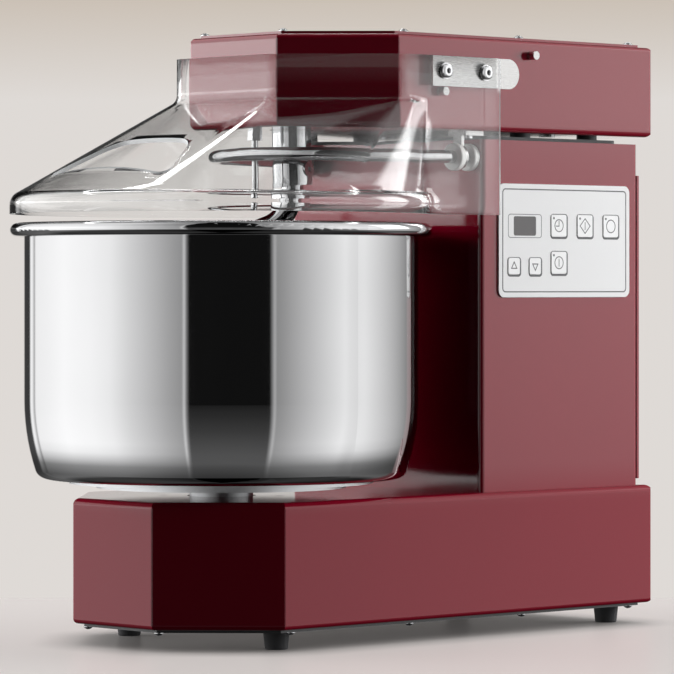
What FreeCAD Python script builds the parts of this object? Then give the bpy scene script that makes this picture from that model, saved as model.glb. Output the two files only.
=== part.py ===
import FreeCAD, Part
import math
import os

from FreeCAD import Vector

# Table-top spiral dough mixer, in millimetres, +Z up, front towards -Y, control panel on the +X side.
# The pieces are drawn about the bowl's upright axis, on the table at z = 0. At the end they are moved
# along Y, so that the origin is the middle of the whole machine's footprint.

# Sheet metal
sheet = 2.0
bend_r = 5.0
lip_bend_r = 4.0
corner_r = 2.5
lip = 16.0
cover_thickness = 2.2
cover_inset = 8.0
cover_screw_r = 2.0
cover_screw_head_r = 3.8
cover_screw_head = 2.3
cover_screw_edge = 11.0
hole_play = 0.25

# Body
body_width = 227.0
body_rear = 359.0
base_front = -108.7
base_chamfer = 69.0
base_height = 93.6
column_inset = 7.5
column_front = 172.5
column_rear = 350.5
column_height = 270.7
column_corner_r = 4.0
motor_plate_thickness = 2.8
motor_plate_inset = 6.0
motor_plate_rear_inset = 16.5
motor_plate_corner_r = 8.0
spacer_height = 3.0
spacer_r = 8.0
head_front = 11.7
head_chamfer = 65.0
head_height = 71.2

# Feet
foot_height = 14.0
foot_r = 10.0
foot_taper = 1.5
foot_side_inset = 30.5
foot_front_inset = 19.5
foot_rear_inset = 21.0

# Bolts
bolt_r = 4.0
bolt_head_across = 13.0
bolt_head = 5.3
head_bolt_inset = 16.0
head_bolt_front = 232.0
head_bolt_rear = 308.0
column_bolt_rows = 3

# Rear cover
rear_cover_side = 1.0
rear_cover_foot = 5.0
rear_cover_height = 241.0
rear_cover_depth = 4.0
rear_cover_sheet = 1.5
rear_cover_lap = 9.0
vent_rows = 8
vent_length = 46.0
vent_width = 5.0
vent_pitch = 12.0
vent_column_gap = 22.0
vent_foot = 116.0

# Cord gland in the rear wall of the base
gland_x = -62.0
gland_up = 46.0
gland_r = 9.0
gland_nut_across = 24.0
gland_nut = 6.0
gland_length = 15.0
gland_bore_r = 4.0

# Bowl
bowl_r = 149.0
bowl_wall = 1.5
bowl_depth = 187.2
bowl_heel_height = 59.0
bowl_heel_r = 170.0
bowl_corner_r = 9.0
bead_r = 5.2
bead_reach = 159.6
neck_height = 3.0
bowl_gap = 6.4
table_overhang = 1.5
table_upper = 3.3
table_lower_r = 94.5
table_lower = 3.5
hub_r = 24.0
hub_length = 20.2
bowl_screw_ring = 70.0
bowl_screw_r = 3.0
bowl_screw_head_r = 6.5
bowl_screw_head = 2.0

# Drive under the bowl
key_width = 5.0
key_height = 2.0
bowl_shaft_r = 12.5
fit_play = 0.05
bearing_r = 26.0
bearing_width = 15.0
bearing_wall = 8.0
bearing_spread = 12.0
bearing_step = 4.0
flange_thickness = 7.0
flange_margin = 20.0
flange_bolt_r = 3.0
flange_bolt_head_r = 5.0
flange_bolt_head = 4.0
running_gap = 0.3
bowl_pulley_r = 95.0
pulley_width = 16.0
pulley_rim = 8.0
pulley_web = 5.0
pulley_lip = 2.5
pulley_lip_width = 2.0
pulley_hub_r = 22.0
pulley_holes = 6
pulley_hole_r = 20.0
belt_thickness = 3.5
belt_play = 0.6

# Motor in the column
motor_y = 261.5
motor_r = 60.0
motor_length = 168.0
motor_flange_r = 72.0
motor_flange = 9.0
motor_fins = 12
motor_fin = 4.0
motor_fin_width = 3.0
motor_bolt_ring = 66.0
motor_bolt_head = 2.4
motor_shaft_r = 9.0
shaft_passage_r = 20.0
motor_base_pulley_r = 12.0
motor_head_pulley_r = 30.0

# Spiral
spiral_y = 72.0
spiral_shaft_r = 15.0
spiral_shaft_drop = 46.3
spiral_socket = 28.0
spiral_pulley_r = 50.0
spiral_flange_r = 48.0
hook_r = 8.5
hook_straight = 0.5
hook_bend_r = 28.0
hook_bend_angle = 70.0
hook_coil_r = 57.0
hook_coil_drop = 56.0
hook_lead_angle = 75.0
hook_turn = 405.0
hook_steps = 9
hook_floor_gap = 8.0
hook_rest_angle = 226.0
clamp_up = 17.0
clamp_screw_r = 4.0
clamp_head_r = 6.0
clamp_head = 1.8
clamp_seat = 1.4
clamp_angle = 13.0

# Short rod that keeps dough from climbing beside the spiral shaft
stripper_y = 34.0
stripper_r = 2.5
stripper_drop = 47.0
stripper_nut_across = 10.0
stripper_nut = 9.0

# Hoop round the shafts
hoop_inset = 13.0
hoop_rod_r = 5.0
hoop_before_stripper = 2.5
hoop_drop = 19.5
bush_r = 10.5
bush_thickness = 5.5
hanger_front = 158.0
hanger_sheet = 3.0
hanger_width = 9.0
hanger_eye_r = 9.5
hanger_leg = 16.0
hanger_screw_r = 2.5
hanger_screw_head_r = 4.2
hanger_screw_head = 2.0

# Clear guard
guard_gap = 7.5
guard_wall = 3.0
collar_below_head = 16.0
collar_height = 32.2
collar_corner_r = 14.0
collar_fillet_r = 8.0
guard_rear_lap = 2.5
skirt_overhang = 0.4
skirt_above_rim = 6.8
skirt_band = 7.3
skirt_round = 10.0
flare_r = 40.0
opening_top = 67.7
opening_depth = 49.5
opening_top_width = 85.0
opening_bottom_width = 139.0
opening_corner_r = 14.0

# Guard hinge
pivot_y = 187.3
pivot_below_head = 27.3
pivot_pin_r = 5.0
pivot_pin_length = 15.0
pivot_collar_r = 8.0
pivot_collar = 2.2
pivot_bush_wall = 3.0
pivot_bush_inside = 8.0
bracket_reach = 83.4
bracket_height = 23.0
bracket_thickness = 3.0
bracket_gap = 0.1
bracket_screw_near = 28.3
bracket_screw_far = 71.4
guard_screw_r = 3.0
guard_screw_head_r = 5.4
guard_screw_head = 2.6
guard_washer_r = 6.2
guard_washer = 0.8
socket_across = 4.0
stop_r = 3.3
stop_length = 6.7
stop_nut_r = 5.5
stop_nut = 3.5
lower_stop_reach = 68.4
upper_stop_back = 31.7
upper_stop_up = 15.7
switch_length = 28.0
switch_height = 16.0
switch_depth = 10.0
switch_behind = 13.0

# Control panel
panel_width = 148.5
panel_height = 87.7
panel_thickness = 1.5
panel_corner_r = 5.5
panel_front_inset = 17.9
panel_below_column = 33.5
panel_window_margin = 6.0
key_size = 17.0
small_key_size = 12.6
key_corner_r = 1.6
key_proud = 0.5
key_play = 0.25
key_flange = 1.0
key_flange_thickness = 0.8
key_travel = 0.8
key_pitch = 29.8
key_first = -7.5
upper_row = 11.9
lower_row = -17.0
small_key_first = -57.9
small_key_pitch = 23.6
small_key_drop = 2.8
display_width = 24.8
display_height = 14.9
display_from_middle = -45.4
display_drop = 0.6
board_stand_off = 6.0
board_thickness = 1.6
board_margin = 4.0
stand_off_r = 3.0
switch_body = 6.0
switch_body_depth = 4.0
switch_gap = 0.15
switch_stem_r = 1.5

# Levels and places that follow from the sizes above
body_half = body_width / 2
column_half = body_half - column_inset
base_z0 = foot_height + cover_thickness
base_z1 = base_z0 + base_height
column_z1 = base_z1 + column_height
motor_plate_z1 = column_z1 + motor_plate_thickness
head_z0 = motor_plate_z1 + spacer_height
head_z1 = head_z0 + head_height
table_z0 = base_z1 + bowl_gap
table_upper_r = body_half + table_overhang
bowl_z0 = table_z0 + table_lower + table_upper
bead_z = bowl_z0 + bowl_depth
bead_ring_r = bead_reach - bead_r
skirt_r = bead_reach + skirt_overhang
skirt_z0 = bead_z + bead_r + skirt_above_rim
skirt_z1 = skirt_z0 + skirt_band
collar_z1 = head_z1 - collar_below_head
collar_z0 = collar_z1 - collar_height
guard_rear = column_front + guard_rear_lap
guard_inner = body_half + guard_gap
guard_outer = guard_inner + guard_wall
bracket_outer = guard_inner - bracket_gap
bracket_inner = bracket_outer - bracket_thickness
pivot_z = head_z1 - pivot_below_head
spiral_shaft_z0 = head_z0 - spiral_shaft_drop
hoop_z = head_z0 - hoop_drop
hoop_r = column_half - hoop_inset
hoop_centre_y = stripper_y - stripper_r - hoop_before_stripper - hoop_rod_r + hoop_r
head_bolt_x = column_half - head_bolt_inset
panel_y = column_front + panel_front_inset + panel_width / 2
panel_z = column_z1 - panel_below_column - panel_height / 2
panel_x0 = column_half
panel_x1 = column_half + panel_thickness
whole_front = -skirt_r
whole_rear = body_rear + gland_length
footprint_middle = (whole_front + whole_rear) / 2
past = 1.0


# Shapes that many pieces share

def prism(points, z0, z1):
    """An upright prism on a plan outline."""
    ring = [Vector(x, y, z0) for x, y in points]
    face = Part.Face(Part.makePolygon(ring + ring[:1]))
    return face.extrude(Vector(0, 0, z1 - z0))


def block(x0, x1, y0, y1, z0, z1):
    return Part.makeBox(x1 - x0, y1 - y0, z1 - z0, Vector(x0, y0, z0))


def rod_z(r, x, y, z0, z1):
    return Part.makeCylinder(r, z1 - z0, Vector(x, y, z0))


def rod_x(r, y, z, x0, x1):
    return Part.makeCylinder(r, x1 - x0, Vector(x0, y, z), Vector(1, 0, 0))


def rod_y(r, x, z, y0, y1):
    return Part.makeCylinder(r, y1 - y0, Vector(x, y0, z), Vector(0, 1, 0))


def turned(profile, x=0.0, y=0.0):
    """A turned piece from its half section, points of radius and height, about an upright axis."""
    ring = [Vector(r, 0, z) for r, z in profile]
    face = Part.Face(Part.makePolygon(ring + ring[:1]))
    solid = face.revolve(Vector(0, 0, 0), Vector(0, 0, 1), 360)
    return solid.translated(Vector(x, y, 0))


def hexagon(across, x, y, z0, z1):
    corner = across / math.sqrt(3)
    points = []
    for step in range(6):
        angle = math.radians(60 * step)
        points.append((x + corner * math.cos(angle), y + corner * math.sin(angle)))
    return prism(points, z0, z1)


def laid_along_x(shape, y, z, x0):
    """A piece modelled up the Z axis, laid so that its height runs along +X from x0."""
    laid = shape.copy()
    laid.rotate(Vector(0, 0, 0), Vector(0, 1, 0), 90)
    return laid.translated(Vector(x0, y, z))


def mirrored(shape):
    return shape.mirror(Vector(0, 0, 0), Vector(1, 0, 0))


def both_sides(shapes):
    """The pieces of the +X side together with their mirror images."""
    return Part.makeCompound(shapes + [mirrored(shape) for shape in shapes])


def edges_along(shape, axis):
    """The straight edges of a shape that run along one axis."""
    found = []
    for edge in shape.Edges:
        run = edge.lastVertex().Point.sub(edge.firstVertex().Point)
        if run.Length > 0 and abs(abs(run.dot(axis)) - run.Length) < 1e-6:
            found.append(edge)
    return found


def rounded_block(x0, x1, y0, y1, z0, z1, r, axis):
    solid = block(x0, x1, y0, y1, z0, z1)
    return solid.makeFillet(r, edges_along(solid, axis))


def panel_plate(y, z, width, height, r, x0, x1):
    """A plate on the control panel's side, with rounded corners."""
    half_w = width / 2
    half_h = height / 2
    return rounded_block(x0, x1, y - half_w, y + half_w, z - half_h, z + half_h, r, Vector(1, 0, 0))


def cover_screw(x, y, z, down):
    """A low screw whose head lies on a cover at height z; down is 1 above the cover and -1 under it."""
    head = [(0, 0), (cover_screw_head_r, 0), (cover_screw_head_r, 0.5 * cover_screw_head),
            (0.7 * cover_screw_head_r, cover_screw_head), (0, cover_screw_head)]
    shank_length = cover_thickness + sheet
    shank = [(0, -shank_length), (cover_screw_r, -shank_length), (cover_screw_r, 0)]
    screw = turned(shank + head[1:])
    if down < 0:
        screw = screw.mirror(Vector(0, 0, 0), Vector(0, 0, 1))
    return screw.translated(Vector(x, y, z))


def bolt_with_nut(x, y, z_head, z_nut):
    """A hexagon bolt with its head on z_head and its nut under z_nut."""
    shank = rod_z(bolt_r, x, y, z_nut - bolt_head - past, z_head + past)
    head = hexagon(bolt_head_across, x, y, z_head, z_head + bolt_head)
    nut = hexagon(bolt_head_across, x, y, z_nut - bolt_head, z_nut)
    return shank.fuse([head, nut]).removeSplitter()


# Folded housings

def plan(half, front, rear, chamfer, inset=0.0):
    """The outline of base and head: a rectangle with chamfered front corners, drawn in by inset."""
    half = half - inset
    front = front + inset
    rear = rear - inset
    chamfer = chamfer - inset * (2 - math.sqrt(2))
    return [(chamfer - half, front), (half - chamfer, front), (half, front + chamfer),
            (half, rear), (-half, rear), (-half, front + chamfer)]


def rounded_over(solid, points, z, r):
    """Rounds the top edges of a prism whose outline is points and whose top is at z."""
    for index, (x0, y0) in enumerate(points):
        x1, y1 = points[(index + 1) % len(points)]
        start = Vector(x0, y0, z)
        along = Vector(x1 - x0, y1 - y0, 0)
        length = along.Length
        along.normalize()
        out = Vector(along.y, -along.x, 0)
        up = Vector(0, 0, 1)
        first = start - along * r - out * r
        middle = first - up * r + (out + up) * (r / math.sqrt(2))
        arc = Part.Arc(first, middle, start - along * r - up * r).toShape()
        outside = [start - along * r - up * r, start - along * r - up * r + out * past,
                   start - along * r + (out + up) * past, first + up * past, first]
        wire = Part.Wire([arc] + Part.makePolygon(outside).Edges)
        solid = solid.cut(Part.Face(wire).extrude(along * (length + 2 * r)))
    return solid


def rounded_under(solid, points, z, r):
    """Rounds the bottom edges of a prism whose outline is points and whose bottom is at z."""
    turned_over = rounded_over(solid.mirror(Vector(0, 0, z), Vector(0, 0, 1)), points, z, r)
    return turned_over.mirror(Vector(0, 0, z), Vector(0, 0, 1))


def folded_tray(half, front, rear, chamfer, height):
    """A tray of folded sheet, closed above at z = height and open below at z = 0 inside its lips."""
    outline = plan(half, front, rear, chamfer)
    inner = plan(half, front, rear, chamfer, sheet)
    mouth = plan(half, front, rear, chamfer, lip)
    outside = prism(outline, 0, height)
    outside = outside.makeFillet(corner_r, edges_along(outside, Vector(0, 0, 1)))
    outside = rounded_over(outside, outline, height, bend_r)
    outside = rounded_under(outside, outline, 0, lip_bend_r)
    inside = rounded_over(prism(inner, sheet, height - sheet), inner, height - sheet, bend_r - sheet)
    inside = rounded_under(inside, inner, sheet, lip_bend_r - sheet)
    return outside.cut(inside).cut(prism(mouth, -past, sheet + past))


def side_rows(first, last, count):
    return [first + (last - first) * step / (count - 1) for step in range(count)]


def cover_screw_places(front, chamfer, count):
    """Screw places round a cover: two at the front, then rows along both sides."""
    front_x = body_half - chamfer - 0.4 * cover_screw_edge
    places = [(front_x, front + cover_screw_edge), (-front_x, front + cover_screw_edge)]
    first = front + chamfer + 1.4 * cover_screw_edge
    for y in side_rows(first, body_rear - 1.5 * cover_screw_edge, count):
        places.append((body_half - cover_screw_edge, y))
        places.append((cover_screw_edge - body_half, y))
    return places


bottom_screw_places = cover_screw_places(base_front, base_chamfer, 4)
top_screw_places = cover_screw_places(head_front, head_chamfer, 3)
column_bolt_x = column_half - sheet - bolt_head_across / math.sqrt(3) - 2 * running_gap
column_bolt_y = side_rows(column_front + lip, column_rear - lip, column_bolt_rows)
column_bolt_places = [(side * column_bolt_x, y) for side in (-1, 1) for y in column_bolt_y]
head_bolt_places = [(side * head_bolt_x, y) for side in (-1, 1) for y in (head_bolt_front, head_bolt_rear)]
foot_x = body_half - foot_side_inset
foot_rows = (base_front + base_chamfer + foot_front_inset, body_rear - foot_rear_inset)
foot_places = [(side * foot_x, y) for side in (-1, 1) for y in foot_rows]


def ring_of_four(ring_r, y):
    """Four places on a circle about an axis on the machine's middle plane."""
    places = []
    for quarter in range(4):
        turn = math.radians(45 + 90 * quarter)
        places.append((ring_r * math.cos(turn), y + ring_r * math.sin(turn)))
    return places


motor_bolt_places = ring_of_four(motor_bolt_ring, motor_y)
bowl_screw_places = ring_of_four(bowl_screw_ring, 0)
bowl_flange_r = bearing_r + bearing_wall + flange_margin
bowl_flange_places = ring_of_four(bearing_r + bearing_wall + flange_margin / 2, 0)
spiral_flange_places = ring_of_four((bearing_r + bearing_wall + spiral_flange_r) / 2, spiral_y)


def drilled(shape, places, r, z0, z1):
    """Round holes through a level sheet that lies between z0 and z1."""
    return shape.cut([rod_z(r, x, y, z0 - past, z1 + past) for x, y in places])


def base_housing():
    tray = folded_tray(body_half, base_front, body_rear, base_chamfer, base_height)
    tray = tray.translated(Vector(0, 0, base_z0))
    tray = drilled(tray, [(0, 0)], hub_r + 2, base_z1 - sheet, base_z1)
    tray = drilled(tray, [(0, motor_y)], shaft_passage_r, base_z1 - sheet, base_z1)
    tray = drilled(tray, column_bolt_places, bolt_r + hole_play, base_z1 - sheet, base_z1)
    tray = drilled(tray, bowl_flange_places, flange_bolt_r + hole_play, base_z1 - sheet, base_z1)
    tray = drilled(tray, bottom_screw_places, cover_screw_r + hole_play, base_z0, base_z0 + sheet)
    gland_z = base_z0 + gland_up
    return tray.cut(rod_y(gland_r + hole_play, gland_x, gland_z, body_rear - sheet - past, body_rear + past))


def bottom_plate():
    outline = plan(body_half, base_front, body_rear, base_chamfer, cover_inset)
    plate = prism(outline, foot_height, base_z0)
    return drilled(plate, bottom_screw_places, cover_screw_r + hole_play, foot_height, base_z0)


def bottom_plate_screws():
    return Part.makeCompound([cover_screw(x, y, foot_height, -1) for x, y in bottom_screw_places])


def rubber_feet():
    foot = Part.makeCone(foot_r - foot_taper, foot_r, foot_height)
    foot = foot.makeFillet(0.8 * foot_taper, [edge for edge in foot.Edges if edge.BoundBox.ZMax < past])
    return Part.makeCompound([foot.translated(Vector(x, y, 0)) for x, y in foot_places])


def head_housing():
    tray = folded_tray(body_half, head_front, body_rear, head_chamfer, head_height)
    tray = tray.mirror(Vector(0, 0, 0), Vector(0, 0, 1)).translated(Vector(0, 0, head_z1))
    floor = (head_z0, head_z0 + sheet)
    tray = drilled(tray, [(0, spiral_y)], spiral_shaft_r + 2, *floor)
    tray = drilled(tray, [(0, motor_y)], shaft_passage_r, *floor)
    tray = drilled(tray, [(0, stripper_y)], stripper_r + hole_play, *floor)
    tray = drilled(tray, head_bolt_places, bolt_r + hole_play, *floor)
    tray = drilled(tray, hanger_screw_places, hanger_screw_r + hole_play, *floor)
    tray = drilled(tray, spiral_flange_places, flange_bolt_r + hole_play, *floor)
    tray = drilled(tray, top_screw_places, cover_screw_r + hole_play, head_z1 - sheet, head_z1)
    wall = body_half - sheet - past
    holes = [rod_x(pivot_pin_r + fit_play + pivot_bush_wall, pivot_y, pivot_z, wall, body_half + past)]
    holes += [rod_x(stop_r, y, z, wall, body_half + past) for y, z in stop_places]
    return tray.cut(holes + [mirrored(hole) for hole in holes])


def top_cover():
    outline = plan(body_half, head_front, body_rear, head_chamfer, cover_inset)
    plate = prism(outline, head_z1, head_z1 + cover_thickness)
    return drilled(plate, top_screw_places, cover_screw_r + hole_play, head_z1, head_z1 + cover_thickness)


def top_cover_screws():
    return Part.makeCompound([cover_screw(x, y, head_z1 + cover_thickness, 1) for x, y in top_screw_places])


# Column

def column_shell():
    outside = rounded_block(-column_half, column_half, column_front, column_rear, base_z1, column_z1,
                            column_corner_r, Vector(0, 0, 1))
    inside = block(sheet - column_half, column_half - sheet, column_front + sheet, column_rear - sheet,
                   base_z1 + sheet, column_z1 - sheet)
    foot = block(lip - column_half, column_half - lip, column_front + lip, column_rear - lip,
                 base_z1 - past, base_z1 + sheet + past)
    shell = outside.cut([inside, foot])
    shell = shell.cut(rear_window())
    shell = drilled(shell, column_bolt_places, bolt_r + hole_play, base_z1, base_z1 + sheet)
    top = (column_z1 - sheet, column_z1)
    shell = drilled(shell, head_bolt_places, bolt_r + hole_play, *top)
    shell = drilled(shell, motor_bolt_places, bolt_r + hole_play, *top)
    shell = drilled(shell, [(0, motor_y)], shaft_passage_r, *top)
    shell = shell.cut([rod_y(cover_screw_r + hole_play, x, z, column_rear - sheet - past, column_rear + past)
                       for x, z in rear_screw_places])
    window = panel_plate(panel_y, panel_z, panel_width - 2 * panel_window_margin,
                         panel_height - 2 * panel_window_margin, panel_corner_r,
                         column_half - sheet - past, column_half + past)
    return shell.cut(window)


rear_cover_half = column_half - rear_cover_side
rear_cover_z0 = base_z1 + rear_cover_foot
rear_cover_z1 = rear_cover_z0 + rear_cover_height
rear_screw_x = rear_cover_half - rear_cover_lap
rear_screw_z = side_rows(rear_cover_z0 + rear_cover_lap, rear_cover_z1 - rear_cover_lap, 3)
rear_screw_places = [(side * rear_screw_x, z) for side in (-1, 1) for z in rear_screw_z]


def rear_window():
    """The opening in the column's back that the rear cover closes, with an edge for its screws."""
    edge = 2 * rear_cover_lap
    half = rear_cover_half - edge
    return block(-half, half, column_rear - sheet - past, column_rear + past,
                 rear_cover_z0 + edge, rear_cover_z1 - edge)


def vent_slots():
    slots = []
    middle = (vent_column_gap + vent_length) / 2
    half_l = vent_length / 2
    half_w = vent_width / 2
    y0 = column_rear - past
    y1 = column_rear + rear_cover_depth + past
    for row in range(vent_rows):
        z = rear_cover_z0 + vent_foot + vent_pitch * row
        for x in (-middle, middle):
            slots.append(rounded_block(x - half_l, x + half_l, y0, y1, z - half_w, z + half_w,
                                       0.98 * half_w, Vector(0, 1, 0)))
    return slots


def rear_cover():
    back = column_rear + rear_cover_depth
    pan = block(-rear_cover_half, rear_cover_half, column_rear, back, rear_cover_z0, rear_cover_z1)
    pan = pan.makeFillet(corner_r, [edge for edge in pan.Edges if edge.BoundBox.YMin > back - past])
    hollow = block(2 * rear_cover_lap - rear_cover_half, rear_cover_half - 2 * rear_cover_lap,
                   column_rear - past, back - rear_cover_sheet,
                   rear_cover_z0 + 2 * rear_cover_lap, rear_cover_z1 - 2 * rear_cover_lap)
    holes = [rod_y(cover_screw_r + hole_play, x, z, column_rear - past, back + past)
             for x, z in rear_screw_places]
    return pan.cut([hollow] + holes + vent_slots())


def rear_cover_screws():
    screws = []
    for x, z in rear_screw_places:
        head = Part.makeCone(cover_screw_head_r, 0.75 * cover_screw_head_r, cover_screw_head,
                             Vector(x, column_rear + rear_cover_depth, z), Vector(0, 1, 0))
        shank = rod_y(cover_screw_r, x, z, column_rear - sheet - past, column_rear + rear_cover_depth + past)
        screws.append(head.fuse(shank).removeSplitter())
    return Part.makeCompound(screws)


def column_bolts():
    return Part.makeCompound([bolt_with_nut(x, y, base_z1 + sheet, base_z1 - sheet)
                              for x, y in column_bolt_places])


def motor_plate():
    half = column_half - motor_plate_inset
    plate = rounded_block(-half, half, column_front + motor_plate_inset, column_rear - motor_plate_rear_inset,
                          column_z1, motor_plate_z1, motor_plate_corner_r, Vector(0, 0, 1))
    plate = drilled(plate, [(0, motor_y)], shaft_passage_r, column_z1, motor_plate_z1)
    return drilled(plate, head_bolt_places + motor_bolt_places, bolt_r + hole_play, column_z1, motor_plate_z1)


def head_spacers():
    spacers = []
    for x, y in head_bolt_places:
        outer = rod_z(spacer_r, x, y, motor_plate_z1, head_z0)
        spacers.append(outer.cut(rod_z(bolt_r + hole_play, x, y, motor_plate_z1 - past, head_z0 + past)))
    return Part.makeCompound(spacers)


def head_bolts():
    return Part.makeCompound([bolt_with_nut(x, y, head_z0 + sheet, column_z1 - sheet)
                              for x, y in head_bolt_places])


def cord_gland():
    z = base_z0 + gland_up
    nut = hexagon(gland_nut_across, 0, 0, 0, gland_nut)
    dome = Part.makeCone(0.42 * gland_nut_across, 0.3 * gland_nut_across, gland_length - gland_nut,
                         Vector(0, 0, gland_nut))
    stem = rod_z(gland_r, 0, 0, -sheet - gland_nut - past, past)
    back_nut = hexagon(gland_nut_across, 0, 0, -sheet - gland_nut, -sheet)
    gland = nut.fuse([dome, stem, back_nut]).removeSplitter()
    gland = gland.cut(rod_z(gland_bore_r, 0, 0, -sheet - gland_nut - 2 * past, gland_length + past))
    gland.rotate(Vector(0, 0, 0), Vector(1, 0, 0), -90)
    return gland.translated(Vector(gland_x, body_rear, z))


# Bowl and the drive under it

def bowl_outline(skin):
    """Half section of the bowl's skin: floor, corner, heel and upright wall, drawn in by skin."""
    radius = bowl_r - skin
    floor = bowl_z0 + skin
    heel_z = bowl_z0 + bowl_heel_height
    heel_r = bowl_heel_r - skin
    corner = bowl_corner_r - skin
    heel_x = radius - heel_r
    drop = heel_z - floor - corner
    corner_x = heel_x + math.sqrt((heel_r - corner) ** 2 - drop ** 2)
    slope = math.atan2(drop, corner_x - heel_x)
    join = Vector(heel_x + heel_r * math.cos(slope), 0, heel_z - heel_r * math.sin(slope))
    heel_mid = Vector(heel_x + heel_r * math.cos(slope / 2), 0, heel_z - heel_r * math.sin(slope / 2))
    low = (slope + math.pi / 2) / 2
    corner_mid = Vector(corner_x + corner * math.cos(low), 0, floor + corner - corner * math.sin(low))
    floor_end = Vector(corner_x, 0, floor)
    wall_foot = Vector(radius, 0, heel_z)
    wall_top = Vector(radius, 0, bead_z + neck_height)
    return [Part.makeLine(Vector(0, 0, floor), floor_end),
            Part.Arc(floor_end, corner_mid, join).toShape(),
            Part.Arc(join, heel_mid, wall_foot).toShape(),
            Part.makeLine(wall_foot, wall_top)]


def bowl_body(skin):
    edges = bowl_outline(skin)
    top = Vector(0, 0, bead_z + neck_height)
    edges.append(Part.makeLine(Vector(bowl_r - skin, 0, top.z), top))
    edges.append(Part.makeLine(top, Vector(0, 0, bowl_z0 + skin)))
    return Part.Face(Part.Wire(edges)).revolve(Vector(0, 0, 0), Vector(0, 0, 1), 360)


def bowl():
    shell = bowl_body(0.0).cut(bowl_body(bowl_wall))
    bead = Part.makeTorus(bead_ring_r, bead_r, Vector(0, 0, bead_z))
    inner = bowl_r - bowl_wall
    neck = turned([(inner, bead_z), (bead_ring_r, bead_z), (bead_ring_r, bead_z + bead_r),
                   (inner + neck_height, bead_z + bead_r), (inner, bead_z + neck_height)])
    shell = shell.fuse([bead, neck]).removeSplitter()
    return drilled(shell, bowl_screw_places, bowl_screw_r + hole_play, bowl_z0, bowl_z0 + bowl_wall)


def bowl_screws():
    """Low screws in the bowl's floor that hold it on the turntable."""
    floor = bowl_z0 + bowl_wall
    profile = [(0, table_z0), (bowl_screw_r, table_z0), (bowl_screw_r, floor), (bowl_screw_head_r, floor),
               (0.6 * bowl_screw_head_r, floor + bowl_screw_head), (0, floor + bowl_screw_head)]
    return Part.makeCompound([turned(profile, x, y) for x, y in bowl_screw_places])


def turntable():
    step = table_z0 + table_lower
    bore = bowl_shaft_r + fit_play
    disc = turned([(bore, table_z0 - hub_length), (hub_r, table_z0 - hub_length), (hub_r, table_z0),
                   (table_lower_r, table_z0), (table_lower_r, step), (table_upper_r, step),
                   (table_upper_r, bowl_z0), (bore, bowl_z0)])
    slot = feather_key(bowl_shaft_r, 0, table_z0 - hub_length, hub_length, fit_play)
    return drilled(disc.cut(slot), bowl_screw_places, bowl_screw_r + hole_play, table_z0, bowl_z0)


bowl_bearing_top = table_z0 - hub_length - fit_play
bowl_bearing_low = bowl_bearing_top - 2 * bearing_width - bearing_spread
bowl_pulley_z1 = bowl_bearing_low - bearing_step - running_gap
bowl_pulley_z0 = bowl_pulley_z1 - pulley_width


def feather_key(shaft_r, y, z0, length, play):
    """The key that drives a pulley or hub on its shaft, or with play its slot in the hub."""
    half = key_width / 2 + play
    top = shaft_r + key_height + play
    return block(shaft_r - key_height, top, y - half, y + half, z0 - play, z0 + length + play)


def bowl_shaft():
    shaft = rod_z(bowl_shaft_r, 0, 0, bowl_pulley_z0 - bearing_step, bowl_z0 - fit_play)
    low_key = feather_key(bowl_shaft_r, 0, bowl_pulley_z0, pulley_width, 0.0)
    high_key = feather_key(bowl_shaft_r, 0, table_z0 - hub_length, hub_length, 0.0)
    return shaft.fuse([low_key, high_key]).removeSplitter()


def bowl_bearing_housing():
    outer = bearing_r + bearing_wall
    roof = base_z1 - sheet
    inner = bearing_r - bearing_step
    upper = bowl_bearing_top - bearing_width
    lower = bowl_bearing_low + bearing_width
    flange_z0 = roof - flange_thickness
    housing = turned([(bearing_r, roof), (bowl_flange_r, roof), (bowl_flange_r, flange_z0),
                      (outer, flange_z0), (outer, bowl_bearing_low - bearing_step),
                      (inner, bowl_bearing_low - bearing_step), (inner, bowl_bearing_low),
                      (bearing_r, bowl_bearing_low), (bearing_r, lower),
                      (inner, lower), (inner, upper), (bearing_r, upper)])
    return drilled(housing, bowl_flange_places, flange_bolt_r + hole_play, flange_z0, roof)


def bearing(shaft_r, x, y, z0):
    """A ball bearing as one ring with the grooves of its two races."""
    groove = 0.5
    race = 0.3 * (bearing_r - shaft_r)
    r0 = shaft_r + fit_play
    r1 = bearing_r - fit_play
    z1 = z0 + bearing_width
    inner = r0 + race
    outer = r1 - race
    return turned([(r0, z0), (inner, z0), (inner, z0 + groove), (outer, z0 + groove), (outer, z0),
                   (r1, z0), (r1, z1), (outer, z1), (outer, z1 - groove), (inner, z1 - groove),
                   (inner, z1), (r0, z1)], x, y)


def bowl_bearings():
    return Part.makeCompound([bearing(bowl_shaft_r, 0, 0, bowl_bearing_top - bearing_width),
                              bearing(bowl_shaft_r, 0, 0, bowl_bearing_low)])


def flanged_pulley(pitch_r, shaft_r, y, z0):
    """A solid pulley with two lips that keep its belt."""
    z1 = z0 + pulley_width
    edge = pitch_r + pulley_lip
    bore = shaft_r + fit_play
    low = z0 + pulley_lip_width
    high = z1 - pulley_lip_width
    solid = turned([(bore, z0), (edge, z0), (edge, low), (pitch_r, low), (pitch_r, high), (edge, high),
                    (edge, z1), (bore, z1)], 0, y)
    return solid.cut(feather_key(shaft_r, y, z0, pulley_width, fit_play))


def webbed_pulley(pitch_r, shaft_r, y, z0):
    """A large pulley whose web is thinner than its rim."""
    solid = flanged_pulley(pitch_r, shaft_r, y, z0)
    side = (pulley_width - pulley_web) / 2
    rim = pitch_r - pulley_rim
    recess = turned([(pulley_hub_r, 0), (rim, 0), (rim, side), (pulley_hub_r, side)], 0, y)
    upper = z0 + pulley_width - side
    return solid.cut([recess.translated(Vector(0, 0, z)) for z in (z0, upper)])


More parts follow.
